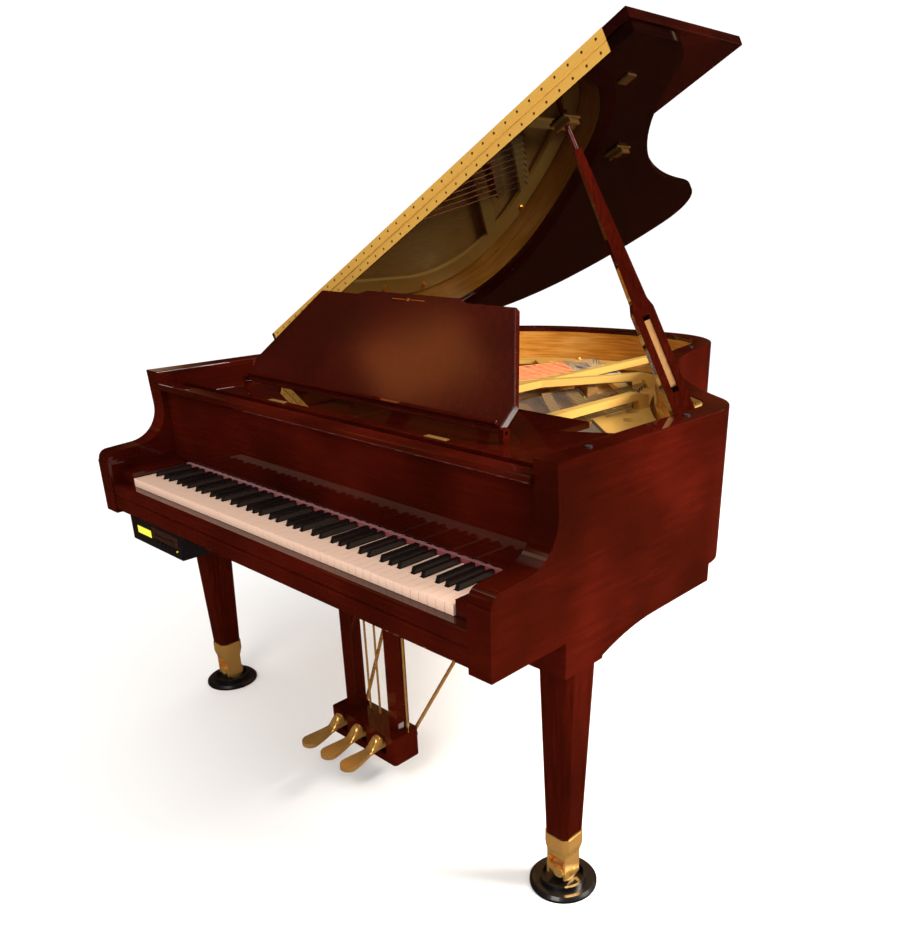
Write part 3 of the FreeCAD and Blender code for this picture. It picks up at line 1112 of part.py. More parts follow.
yoke_parts = [Part.makeCylinder(S.stem_radius, stem_length, Vector(0, 0, yoke_top)),
              block(-fork_out, fork_out, -S.fork_front, S.fork_back, yoke_top - S.yoke_plate, yoke_top),
              block(fork_in, fork_out, -S.fork_front, S.fork_back, S.fork_bottom, yoke_top),
              block(-fork_out, -fork_in, -S.fork_front, S.fork_back, S.fork_bottom, yoke_top),
              Part.makeCylinder(S.axle_radius, fork_out * 2, Vector(-fork_out, S.wheel_trail, axle_z), X),
              block(-fork_out, fork_out, -S.fork_front, S.brake_plate - S.fork_front,
                    brake_z - S.brake_height / 2, brake_z + S.brake_height / 2),
              Part.makeCylinder(S.brake_radius, S.brake_reach, brake_back, Y * -1)]
yoke = yoke.multiFuse(yoke_parts)
wheel = Part.makeCylinder(S.wheel_radius, S.wheel_width, Vector(-S.wheel_width / 2, S.wheel_trail, axle_z), X)
wheel = wheel.cut(Part.makeCylinder(S.axle_radius + S.axle_play, S.wheel_width,
                                    Vector(-S.wheel_width / 2, S.wheel_trail, axle_z), X))
for label, shape in (("legs", leg_shape), ("leg_ferrules", ferrule), ("caster_cups", cup)):
    copies = [shape.translated(place) for place in LEG_PLACES.values()]
    finish(feature(label, Part.makeCompound(copies)), label)
for side, place in LEG_PLACES.items():
    spot = Placement(place, Rotation())
    finish(feature(f"caster_yoke_{side}", yoke.copy(), spot), f"caster_yoke_{side}")
    finish(feature(f"caster_wheel_{side}", wheel.copy(), spot), f"caster_wheel_{side}")

# Pedal lyre
lyre_back = "lyre_front + lyre_depth"
shell = doc.addObject("Part::Box", "lyre_shell")
shell.setExpression("Length", bound("lyre_half * 2"))
shell.setExpression("Width", bound("lyre_depth"))
shell.setExpression("Height", bound("lyre_top - lyre_bottom"))
shell.setExpression("Placement.Base.x", bound("lyre_x - lyre_half"))
shell.setExpression("Placement.Base.y", bound("lyre_front"))
shell.setExpression("Placement.Base.z", bound("lyre_bottom"))
tools = [box("lyre_room", "lyre_x - lyre_half + lyre_wall", "lyre_x + lyre_half - lyre_wall",
             "lyre_front + lyre_wall", f"{lyre_back} - lyre_wall", "lyre_bottom + lyre_wall",
             "lyre_top - lyre_wall")]
for k in (-1, 0, 1):
    middle = f"lyre_x + pedal_pitch * {k}"
    tools.append(box(f"lyre_slot{k + 1}", f"{middle} - lyre_slot / 2", f"{middle} + lyre_slot / 2",
                     "lyre_front", "lyre_front + lyre_wall", "slot_low", "slot_high"))
for name, place in ROD_PLACES.items():
    tools.append(rod(f"{name}_rod_hole", "rod_hole", (place, "rod_y", "lyre_top - lyre_wall"), "lyre_wall"))
doc.recompute()
rounded = doc.addObject("Part::Fillet", "lyre_rounded")
rounded.Base = shell
rounded.Edges = [(i, S.lyre_round, S.lyre_round) for i, e in enumerate(shell.Shape.Edges, start=1)
                 if abs(e.Vertexes[0].Z - e.Vertexes[1].Z) > S.lyre_wall]
lyre_members = [cut("lyre_box", rounded, *tools)]
head_low = "rim_bottom - lyre_head"
for k in (-1, 1):
    middle = f"lyre_x + post_x * {k}"
    lyre_members.append(box(f"lyre_post{k + 1}", f"{middle} - post_size / 2", f"{middle} + post_size / 2",
                            "post_y - post_deep / 2", "post_y + post_deep / 2", "lyre_top", head_low))
head = box("lyre_head", "lyre_x - lyre_head_half", "lyre_x + lyre_head_half", "lyre_front", lyre_back,
           head_low, "rim_bottom")
head_holes = [rod(f"{name}_head_hole", "rod_hole", (place, "rod_y", head_low), "lyre_head")
              for name, place in ROD_PLACES.items()]
lyre_members.append(cut("lyre_head_board", head, *head_holes))
finish(gather("lyre_frame", *lyre_members), "lyre_frame")
braces = []
lyre_rear = S.lyre_front + S.lyre_depth
for k in (-1, 1):
    low = Vector(S.lyre_x + S.brace_x * k, lyre_rear + S.brace_foot, S.brace_low_z)
    high = Vector(post_middle(k, S.brace_high_y), S.brace_high_y, S.rim_bottom - S.brace_foot)
    bar = Part.makeCylinder(S.brace_radius, (high - low).Length, low, high - low)
    pad = S.brace_foot + S.brace_radius
    pads = [Part.makeCylinder(S.brace_flange, pad, Vector(low.x, lyre_rear, low.z), Y),
            Part.makeCylinder(S.brace_flange, pad, Vector(high.x, high.y, S.rim_bottom), Z * -1)]
    braces.append(bar.multiFuse(pads))
axle_half = S.lyre_half - S.lyre_wall
axle_end = Vector(S.lyre_x - axle_half, S.pedal_pivot_y, S.pedal_pivot_z)
braces.append(Part.makeCylinder(S.pedal_axle, axle_half * 2, axle_end, X))
finish(feature("lyre_braces", Part.makeCompound(braces)), "lyre_braces")


# Pedals: a side profile met by a plan that flares to a round tip
def spline(points):
    line = Part.BSplineCurve()
    line.interpolate(points)
    return line.toShape()


run = S.lyre_front - S.pedal_tip
# Shares of the way out from the box and of the drop to the tip
SWEEP_SHARES = ((0, 0), (0.22, 0.1), (0.48, 0.56), (0.74, 0.88), (1, 1))
drop_high = S.tip_high - S.pedal_high
drop_low = S.tip_low - S.pedal_low
upper = [Vector(0, S.lyre_front - run * a, S.pedal_high + drop_high * b) for a, b in SWEEP_SHARES]
lower = [Vector(0, S.lyre_front - run * a, S.pedal_low + drop_low * b) for a, b in SWEEP_SHARES]
rear_high = Vector(0, S.pedal_back, S.pedal_high)
rear_low = Vector(0, S.pedal_back, S.pedal_low)
outline = Part.Wire(Part.__sortEdges__([
    spline(upper), spline(lower), Part.makeLine(upper[0], rear_high), Part.makeLine(lower[0], rear_low),
    Part.makeLine(rear_high, rear_low), Part.makeLine(upper[-1], lower[-1])]))
wide_side = S.pedal_pitch
profile_solid = Part.Face(outline).extrude(X * wide_side * 2)
profile_solid.translate(X * -wide_side)
# Shares of the way out from the box and of the flare from neck to full width
FLARE_SHARES = ((0, 0), (0.4, 0.12), (0.7, 0.8), (0.85, 1))


def pedal_plan(tab):
    flare = S.pedal_wide - S.pedal_neck
    right = [Vector(S.pedal_neck + flare * b, S.lyre_front - run * a, 0) for a, b in FLARE_SHARES]
    left = [Vector(-p.x, p.y, 0) for p in right]
    tip = Part.Arc(right[-1], Vector(0, S.pedal_tip, 0), left[-1]).toShape()
    low = min(-S.pedal_neck, tab - S.tab_edge)
    high = max(S.pedal_neck, tab + S.tab_edge)
    back = [left[0], Vector(-S.pedal_neck, S.pedal_tab, 0), Vector(low, S.pedal_tab, 0),
            Vector(low, S.pedal_back, 0), Vector(high, S.pedal_back, 0), Vector(high, S.pedal_tab, 0),
            Vector(S.pedal_neck, S.pedal_tab, 0), right[0]]
    kept = [p for n, p in enumerate(back) if n == 0 or not p.isEqual(back[n - 1], 1e-6)]
    lines = [Part.makeLine(a, b) for a, b in zip(kept, kept[1:])]
    wire_shape = Part.Wire(Part.__sortEdges__([spline(right), spline(left), tip] + lines))
    plan_solid = Part.Face(wire_shape).extrude(Z * S.lyre_top)
    pedal = plan_solid.common(profile_solid)
    return pedal.cut(Part.makeCylinder(S.pedal_axle + S.pedal_play, wide_side * 2,
                                       Vector(-wide_side, S.pedal_pivot_y, S.pedal_pivot_z), X))


TABS = {"soft": S.pedal_pitch - S.rod_inner, "sostenuto": 0, "sustain": S.rod_outer - S.pedal_pitch}
for k, name in ((-1, "soft"), (0, "sostenuto"), (1, "sustain")):
    spot = Placement(X * (S.lyre_x + S.pedal_pitch * k), Rotation())
    finish(feature(f"{name}_pedal", pedal_plan(TABS[name]), spot), f"{name}_pedal")
    finish(rod(f"{name}_rod", "rod_radius", (ROD_PLACES[name], "rod_y", "pedal_high + rod_rest"),
               "rod_top - pedal_high - rod_rest"), f"{name}_rod")

# Control box under the keybed
unit = box("control_case", "control_left", "control_right", "control_front", "control_back", "control_bottom",
           "rim_bottom")
wells = []
buttons = []
for k in range(BUTTON_COUNT):
    low = f"button_left + button_pitch * {k}"
    wells.append(box(f"button_well{k}", f"{low} - button_clear", f"{low} + button_width + button_clear",
                     "control_front", "control_front + button_well", "button_low - button_clear",
                     "button_low + button_height + button_clear"))
    buttons.append(box(f"button{k}", low, f"{low} + button_width", "control_front - button_out",
                       "control_front + button_in", "button_low", "button_low + button_height"))
finish(cut("control_box", unit, *wells), "control_box")
finish(box("control_display", "display_left", "display_right", "control_front - display_thick",
           "control_front", "display_low", "display_high"), "control_display")
finish(gather("control_buttons", *buttons), "control_buttons")

# Checks, shared origin and files
doc.recompute()
for item in doc.Objects:
    if "Invalid" in item.State or "Error" in item.State:
        raise RuntimeError(f"{item.Name} did not build: {item.State}")
extent = FreeCAD.BoundBox()
for piece in FINISHED:
    if piece.Shape.isNull() or not piece.Shape.isValid() or not piece.Shape.Solids:
        raise RuntimeError(f"{piece.Label} has no valid solid")
    extent.add(piece.Shape.optimalBoundingBox(False, False))
shift = Vector(-(extent.XMin + extent.XMax) / 2, -(extent.YMin + extent.YMax) / 2, -extent.ZMin)
os.makedirs("parts", exist_ok=True)
for piece in FINISHED:
    piece.Shape.translated(shift).exportStep(f"parts/{piece.Label}.step")
    print(f"{piece.Label}: {len(piece.Shape.Solids)} solids, volume {piece.Shape.Volume / 1e6:.3f} litres")
print(f"extent {extent.XLength:.2f} x {extent.YLength:.2f} x {extent.ZLength:.2f}, {len(FINISHED)} pieces")
print(f"shift {shift.x:.4f} {shift.y:.4f} {shift.z:.4f}")
print(f"prop axis {pivot_way.x:.6f} {pivot_way.y:.6f} {pivot_way.z:.6f} fold "
      f"{math.degrees(stick_way.getAngle(fold_way)):.3f}")
print(f"lid hinge {HINGE_X:.3f} {S.rim_top + S.hinge_up:.3f}; fold line z {fold_z:.3f}")
strut_at = desk_place.multVec(Vector(0, S.strut_pivot, -S.strut_offset))
half_at = prop_place.multVec(Vector(0, S.half_depth, S.half_pivot))
print(f"strut pivot {strut_at.y:.4f} {strut_at.z:.4f}")
print(f"half stick pivot {half_at.x:.4f} {half_at.y:.4f} {half_at.z:.4f}")
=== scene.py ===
# %% [markdown]
# # A lacquered grand piano
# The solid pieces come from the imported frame. This script gives them their finishes and adds what repeats:
# strings, pins, bolts, screws, felts and small fittings. Each added piece rides on the body that carries it.

# %% Frame
import math
import bpy
from mathutils import Matrix, Vector


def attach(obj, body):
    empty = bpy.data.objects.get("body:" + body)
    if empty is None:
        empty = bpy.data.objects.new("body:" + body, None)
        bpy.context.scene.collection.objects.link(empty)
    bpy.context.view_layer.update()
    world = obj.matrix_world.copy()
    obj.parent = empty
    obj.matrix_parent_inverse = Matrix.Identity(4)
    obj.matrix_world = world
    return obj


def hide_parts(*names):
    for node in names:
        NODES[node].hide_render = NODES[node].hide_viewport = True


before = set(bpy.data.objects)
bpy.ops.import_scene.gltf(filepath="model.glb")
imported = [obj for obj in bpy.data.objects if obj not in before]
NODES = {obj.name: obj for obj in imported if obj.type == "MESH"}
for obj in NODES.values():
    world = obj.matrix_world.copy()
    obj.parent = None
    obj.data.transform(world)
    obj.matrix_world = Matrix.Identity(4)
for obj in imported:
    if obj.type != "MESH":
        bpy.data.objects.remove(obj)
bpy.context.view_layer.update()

MM = 0.001
# The drawing's own zero (middle of the case, front of the arms, floor) in the row's frame
HOME = Vector((0.0, -870.5, 0.0)) * MM


def at(x, y, z):
    """A place on the drawing, in mm, as metres in the row's frame."""
    return HOME + Vector((x, y, z)) * MM


# %% [markdown]
# ## Finishes
# Colours are written as sRGB hex. Every pattern uses Object coordinates, so its scale is in metres.

# %% Finish helpers
def srgb(text):
    """Linear colour from an sRGB hex word."""
    parts = [int(text[i:i + 2], 16) / 255 for i in (1, 3, 5)]
    return tuple(p / 12.92 if p <= 0.04045 else ((p + 0.055) / 1.055) ** 2.4 for p in parts) + (1.0,)


def add(tree, kind, links=None, **values):
    """One node, its values, and links into it from other sockets."""
    node = tree.nodes.new(kind)
    for name, value in values.items():
        if name in node.bl_rna.properties:
            setattr(node, name, value)
        else:
            node.inputs[name.replace("_", " ")].default_value = value
    for socket, source in (links or {}).items():
        tree.links.new(source, node.inputs[socket])
    return node


def surface(name, colour, roughness=0.4, **extra):
    """A plain principled finish; returns the material, its tree and its shader."""
    material = bpy.data.materials.new(name)
    material.use_nodes = True
    tree = material.node_tree
    tree.nodes.clear()
    shader = add(tree, "ShaderNodeBsdfPrincipled", Base_Color=srgb(colour), Roughness=roughness, **extra)
    add(tree, "ShaderNodeOutputMaterial", {0: shader.outputs[0]})
    return material, tree, shader


def ramp(tree, source, stops):
    """A colour ramp from (place, hex) stops."""
    node = add(tree, "ShaderNodeValToRGB", {"Fac": source})
    element = node.color_ramp.elements
    while len(element) < len(stops):
        element.new(0.5)
    for slot, (place, colour) in zip(element, stops):
        slot.position = place
        slot.color = srgb(colour)
    return node.outputs[0]


STAIN_HEX = "#320803"


def wood(name, stops, stretch, figure=0.5, coat=1.0, coat_ior=1.5, roughness=0.5, blur=0.02,
         dark_before=None):
    """Veneer: fine streaks along the grain and a slow cloudy figure, under a clear lacquer.

    In front of dark_before, a depth in mm, it is stained as dark as the case."""
    material, tree, shader = surface(name, stops[0][1], roughness, Coat_Weight=coat, Coat_Roughness=blur,
                                     Coat_IOR=coat_ior, Specular_IOR_Level=0.0)
    place = add(tree, "ShaderNodeTexCoord").outputs["Object"]
    grain = add(tree, "ShaderNodeMapping", {"Vector": place}, Scale=stretch)
    fine = add(tree, "ShaderNodeTexNoise", {"Vector": grain.outputs[0]}, Scale=3.0, Detail=5.0,
               Roughness=0.6)
    cloud = add(tree, "ShaderNodeTexNoise", {"Vector": place}, Scale=4.0, Detail=2.0, Roughness=0.45)
    mixed = add(tree, "ShaderNodeMix", {"A": fine.outputs["Fac"], "B": cloud.outputs["Fac"]}, Factor=figure)
    tint = ramp(tree, mixed.outputs["Result"], stops)
    if dark_before is not None:
        depth = add(tree, "ShaderNodeSeparateXYZ", {0: place}).outputs["Y"]
        stained = add(tree, "ShaderNodeMath", {0: depth}, operation="LESS_THAN")
        stained.inputs[1].default_value = at(0, dark_before, 0).y
        pick = add(tree, "ShaderNodeMix", {0: stained.outputs[0], 6: tint}, data_type="RGBA")
        pick.inputs[7].default_value = srgb(STAIN_HEX)
        tint = pick.outputs[2]
    tree.links.new(tint, shader.inputs["Base Color"])
    return material


def metal(name, colour, roughness, grain=0.0, scale=900.0, metallic=1.0):
    """Metal with an optional fine cast or wound texture."""
    material, tree, shader = surface(name, colour, roughness, Metallic=metallic)
    if grain:
        place = add(tree, "ShaderNodeTexCoord").outputs["Object"]
        speck = add(tree, "ShaderNodeTexNoise", {"Vector": place}, Scale=scale, Detail=3.0)
        bump = add(tree, "ShaderNodeBump", {"Height": speck.outputs["Fac"]}, Strength=grain, Distance=0.0004)
        tree.links.new(bump.outputs[0], shader.inputs["Normal"])
    return material


# %% The finishes themselves
RED = [(0.34, "#240502"), (0.50, "#320803"), (0.62, "#3f0c05"), (0.76, "#4e1207")]
# Painted shade: the lid's underside is the case's lacquer, darkened as if in shadow
LID_SHADE_RED = [(0.38, "#070201"), (0.52, "#0d0302"), (0.66, "#140503")]
# Painted shade: the flap's lacquer, mid-dark on both faces as if in shadow
FLAP_SHADE_RED = [(0.38, "#130403"), (0.52, "#1c0503"), (0.66, "#280904")]
MAHOGANY = wood("mahogany", RED, (3, 3, 46), figure=0.7)
MAHOGANY_FLAT = wood("mahogany_flat", RED, (46, 4, 46))
MAHOGANY_UPRIGHT = wood("mahogany_upright", RED, (46, 46, 3))
MAHOGANY_FALL = wood("mahogany_fall", RED, (3, 3, 46), figure=0.7, coat=0.6, coat_ior=1.36)
MAHOGANY_DESK = wood("mahogany_desk", RED, (46, 4, 46), blur=0.16)
# The lid's underside and the flap take darker stops as painted shade, not as a different lacquer
MAHOGANY_LID_SHADE = wood("mahogany_lid_painted_shade", LID_SHADE_RED, (40, 4, 40), coat=0.7, coat_ior=1.36)
# The flap's darker stops are painted shade
MAHOGANY_FLAP_SHADE = wood("mahogany_flap_painted_shade", FLAP_SHADE_RED, (40, 4, 40), coat=0.7)
LINING = wood("lining_veneer", [(0.34, "#8a4a14"), (0.5, "#bd7a2a"), (0.68, "#dca050")], (3, 3, 60),
              dark_before=560)
SPRUCE = wood("spruce", [(0.3, "#b07c38"), (0.55, "#cf9e56"), (0.75, "#e2bd80")], (90, 8, 8), coat=0.5)
BARE = wood("bare_wood", [(0.3, "#8a6236"), (0.55, "#ab8350"), (0.8, "#c5a06c")], (6, 60, 60), coat=0.0)
PALE_EDGE = wood("pale_edge", [(0.3, "#7d5230"), (0.6, "#a0764a"), (0.8, "#b68d60")], (60, 60, 8), coat=0.3)
BRASS = metal("brass", "#ffc66c", 0.16, metallic=0.78)
LEAF = metal("leaf_brass", "#ffc65e", 0.2, metallic=0.45)
# Darker brass for the leaf screws, and as painted shade on the lid's fittings behind the leaf
DARK_BRASS_AND_SHADE = metal("dark_brass_and_painted_shade", "#6a4a22", 0.3, metallic=0.8)
PLATE = metal("plate_gold", "#e0b25a", 0.4, grain=0.4, scale=700, metallic=0.25)
COPPER = metal("copper_wire", "#c97850", 0.36, grain=0.6, scale=2600)
STEEL = metal("steel_wire", "#8e8b85", 0.34)
NICKEL = metal("tuning_pin", "#6f6d69", 0.3)
IVORY = surface("ivory", "#f6d0b8", 0.25, Coat_Weight=0.5, Coat_Roughness=0.06)[0]
EBONY = surface("ebony", "#0b0a0a", 0.35, Coat_Weight=0.25, Coat_Roughness=0.1)[0]
BLACK = surface("black_plastic", "#101012", 0.45)[0]
CUP = surface("caster_cup", "#0d0d0e", 0.28, Coat_Weight=0.4, Coat_Roughness=0.1)[0]
FELT = surface("damper_felt", "#131214", 0.95)[0]
RED_FELT = surface("red_felt", "#7d1420", 0.95, Sheen_Weight=0.4)[0]
WHITE_FELT = surface("hammer_felt", "#d8d2c2", 0.95)[0]
GOLD_LINE = metal("gold_line", "#d8b264", 0.3)
RUBBER = surface("rubber", "#18181a", 0.7)[0]
SMOKED = surface("smoked_panel", "#2a1a12", 0.15, Coat_Weight=0.8)[0]
SCREEN = surface("lit_screen", "#b7b344", 0.25, Emission_Color=srgb("#d6d02c"), Emission_Strength=0.9)[0]

FINISH = {
    MAHOGANY: "outer_rim leg_aprons keybed keyslip key_blocks fallboard_nosing lyre_frame desk_rails",
    MAHOGANY_FLAT: "desk_tray desk_strut", MAHOGANY_DESK: "desk_panel",
    MAHOGANY_FALL: "fallboard",
    MAHOGANY_LID_SHADE: "main_lid", MAHOGANY_FLAP_SHADE: "lid_flap",
    MAHOGANY_UPRIGHT: "legs prop_stick", LINING: "rim_lining", SPRUCE: "soundboard soundboard_ribs",
    BARE: "inner_rim back_posts pinblock bridges key_frame", PLATE: "iron_plate", PALE_EDGE: "half_stick",
    LEAF: "lid_hardware flap_hinge_leaf",
    BRASS: "leg_ferrules lyre_braces rim_hardware soft_pedal sostenuto_pedal sustain_pedal soft_rod "
           "sostenuto_rod sustain_rod caster_yoke_left caster_yoke_right caster_yoke_rear "
           "caster_wheel_left caster_wheel_right caster_wheel_rear",
    CUP: "caster_cups", BLACK: "control_box control_buttons", SCREEN: "control_display",
    IVORY: "white_keys key_c4 key_d4 key_e4 key_f4", EBONY: "black_keys key_c_sharp4 key_d_sharp4",
    FELT: "dampers", WHITE_FELT: "hammers",
}
for material, words in FINISH.items():
    for word in words.split():
        mesh = NODES[word].data
        mesh.materials.clear()
        mesh.materials.append(material)
# The lid's top is lacquered as the case is; its underside is painted darker, as painted shade
LID_ANGLE = math.radians(28.5)
LID_UP = Vector((-math.sin(LID_ANGLE), 0, math.cos(LID_ANGLE)))
lid_mesh = NODES["main_lid"].data
lid_mesh.materials.append(MAHOGANY_FLAT)
FACES_UP = 0.7
for face in lid_mesh.polygons:
    face.material_index = int(face.normal.dot(LID_UP) > FACES_UP)
# The lid's leaf is bright; its prop plates and bumper seats, further back under the lid, are painted darker
# brass as painted shade
fittings = NODES["lid_hardware"].data
fittings.materials.append(DARK_BRASS_AND_SHADE)
LEAF_SHADE_START = at(0, 604, 0).y
for face in fittings.polygons:
    face.material_index = int(face.center.y > LEAF_SHADE_START)


# %% [markdown]
# ## Pieces that repeat
# Two node trees do the repeating work. One sets a round peg on every point of a mesh, the other sweeps a
# round wire along its edges. Their sizes are named inputs, set through each socket's identifier.

# %% Node trees
SOFT_ANGLE = math.radians(40)


def node_tree(name, inputs):
    """An empty tree with named inputs; returns it, the inputs' identifiers, and its two end nodes."""
    tree = bpy.data.node_groups.new(name, "GeometryNodeTree")
    tree.interface.new_socket("Geometry", in_out="INPUT", socket_type="NodeSocketGeometry")
    names = {}
    for label, kind in inputs.items():
        socket = tree.interface.new_socket(label, in_out="INPUT", socket_type="NodeSocket" + kind)
        names[label] = socket.identifier
    tree.interface.new_socket("Geometry", in_out="OUTPUT", socket_type="NodeSocketGeometry")
    return tree, names, add(tree, "NodeGroupInput").outputs, add(tree, "NodeGroupOutput")


def pegs_tree():
    tree, names, given, sink = node_tree("pegs_on_points", {
        "Radius": "Float", "Depth": "Float", "Sides": "Int", "Turn": "Vector", "Finish": "Material"})
    peg = add(tree, "GeometryNodeMeshCylinder", {
        "Vertices": given["Sides"], "Radius": given["Radius"], "Depth": given["Depth"]})
    angle = add(tree, "GeometryNodeInputMeshEdgeAngle")
    soft = add(tree, "FunctionNodeCompare", {0: angle.outputs["Unsigned Angle"]}, operation="LESS_THAN")
    soft.inputs[1].default_value = SOFT_ANGLE
    faces = add(tree, "GeometryNodeSetShadeSmooth", {"Geometry": peg.outputs["Mesh"]})
    edges = add(tree, "GeometryNodeSetShadeSmooth", {
        "Geometry": faces.outputs[0], "Shade Smooth": soft.outputs[0]}, domain="EDGE")
    turned = add(tree, "FunctionNodeEulerToRotation", {"Euler": given["Turn"]})
    placed = add(tree, "GeometryNodeInstanceOnPoints", {
        "Points": given["Geometry"], "Instance": edges.outputs[0], "Rotation": turned.outputs[0]})
    real = add(tree, "GeometryNodeRealizeInstances", {"Geometry": placed.outputs[0]})
    done = add(tree, "GeometryNodeSetMaterial", {"Geometry": real.outputs[0], "Material": given["Finish"]})
    tree.links.new(done.outputs[0], sink.inputs[0])
    return tree, names


def wires_tree():
    tree, names, given, sink = node_tree("wires_on_edges", {
        "Radius": "Float", "Sides": "Int", "Finish": "Material"})
    curve = add(tree, "GeometryNodeMeshToCurve", {"Mesh": given["Geometry"]})
    ring = add(tree, "GeometryNodeCurvePrimitiveCircle", {
        "Resolution": given["Sides"], "Radius": given["Radius"]})
    swept = add(tree, "GeometryNodeCurveToMesh", {
        "Curve": curve.outputs[0], "Profile Curve": ring.outputs[0]})
    swept.inputs["Fill Caps"].default_value = True
    soft = add(tree, "GeometryNodeSetShadeSmooth", {"Geometry": swept.outputs[0]})
    real = add(tree, "GeometryNodeRealizeInstances", {"Geometry": soft.outputs[0]})
    done = add(tree, "GeometryNodeSetMaterial", {"Geometry": real.outputs[0], "Material": given["Finish"]})
    tree.links.new(done.outputs[0], sink.inputs[0])
    return tree, names


PEGS = pegs_tree()
WIRES = wires_tree()


# %% Pieces made with them
def carried(name, mesh, body):
    """A mesh as a piece that rides on a body."""
    piece = bpy.data.objects.new(name, mesh)
    bpy.context.scene.collection.objects.link(piece)
    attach(piece, body)
    return piece


def repeat(name, recipe, values, points, edges, body):
    """Runs a tree on points and edges and keeps the result as a plain mesh riding on a body."""
    tree, names = recipe
    mesh = bpy.data.meshes.new(name + "_points")
    mesh.from_pydata([tuple(p) for p in points], edges, [])
    holder = bpy.data.objects.new(name + "_points", mesh)
    bpy.context.scene.collection.objects.link(holder)
    modifier = holder.modifiers.new("repeat", "NODES")
    modifier.node_group = tree
    for label, value in values.items():
        modifier[names[label]] = value
    graph = bpy.context.evaluated_depsgraph_get()
    made = bpy.data.meshes.new_from_object(holder.evaluated_get(graph))
    bpy.data.objects.remove(holder)
    return carried(name, made, body)


def pegs(name, points, body, material, radius, depth, sides=16, turn=(0.0, 0.0, 0.0)):
    """Round pegs, discs or screw heads, sizes in mm; turn is their Euler angle."""
    values = {"Radius": radius * MM, "Depth": depth * MM, "Sides": sides, "Turn": turn, "Finish": material}
    return repeat(name, PEGS, values, points, [], body)


def wires(name, runs, body, material, radius, sides=8):
    """Round wires along straight or bent runs of points."""
    points, edges = [], []
    for run in runs:
        first = len(points)
        points += run
        edges += [(first + i, first + i + 1) for i in range(len(run) - 1)]
    values = {"Radius": radius * MM, "Sides": sides, "Finish": material}
    return repeat(name, WIRES, values, points, edges, body)


def slab(name, low, high, body, material, place=None, bevel=0.0):
    """A small block between two corners in mm, in the drawing's frame or in a placed one."""
    corners = [(x, y, z) for x in (low[0], high[0]) for y in (low[1], high[1]) for z in (low[2], high[2])]
    verts = [(place @ (Vector(c) * MM)) if place else at(*c) for c in corners]
    faces = [(0, 1, 3, 2), (4, 6, 7, 5), (0, 4, 5, 1), (2, 3, 7, 6), (0, 2, 6, 4), (1, 5, 7, 3)]
    mesh = bpy.data.meshes.new(name)
    mesh.from_pydata([tuple(v) for v in verts], [], faces)
    mesh.materials.append(material)
    piece = carried(name, mesh, body)
    if bevel:
        edge = piece.modifiers.new("soft_edge", "BEVEL")
        edge.width = bevel * MM
        edge.segments = 2
    return piece


def board(name, outline, low, high, body, material):
    """A flat board between two heights, from a plan outline in mm."""
    count = len(outline)
    verts = [tuple(at(x, y, z)) for z in (low, high) for x, y in outline]
    around = [(i, (i + 1) % count) for i in range(count)]
    faces = [tuple(range(count))[::-1], tuple(range(count, 2 * count))]
    faces += [(i, j, count + j, count + i) for i, j in around]
    mesh = bpy.data.meshes.new(name)
    mesh.from_pydata(verts, [], faces)
    mesh.materials.append(material)
    return carried(name, mesh, body)


# %% [markdown]
# ## Strings and pins
# The frame holds one wire to a note. Here each plain note gets its three strings and each upper bass note
# its two.

# %% Strings
INNER = 678.0
SECTION_SHARES = ((-0.401, -0.035), (0.024, 0.434), (0.49, 0.826))
SECTION_COUNTS = (18, 22, 28)
BASS_SHARES = (-0.826, -0.494)
BASS_COUNT = 20
FAN_SHARES = (0.3, 0.56)
BAR_Y, PLAIN_Z, BASS_Z = 455, 898, 912
BASS_BRIDGE_Y, BASS_BRIDGE_RUN, BASS_TAIL = 1440, 280, 120
PIN_ROW_Y, PIN_ROW_STEP = 266, 26
UNISON = 2.3
PAIR = 2.7
SINGLES = 8
PLAIN_STAGGER, BASS_STAGGER = 11, 12
PIN_ROWS = 3
PIN_LIFT, BASS_PIN_DROP = 4, 6
HITCH_INSET, HITCH_LIFT, BASS_HITCH_DROP = 2, 1, 8
# Along a bass string from the bar: where its core and its winding begin; at the bridge: where they end
CORE_START, WINDING_START, WINDING_END, CORE_END = 5, 31, 16, 4


def spread(low, high, count):
    return [low + (high - low) * k / (count - 1) for k in range(count)]


def string_backs(node, cell=0.004):
    """The rear end of each straight string in a CAD node, by its place across."""
    found = {}
    for vertex in NODES[node].data.vertices:
        key = round(vertex.co.x / cell)
        found[key] = max(found.get(key, vertex.co.y), vertex.co.y)
    return lambda x: found[min(found, key=lambda k: abs(k - x / cell))]


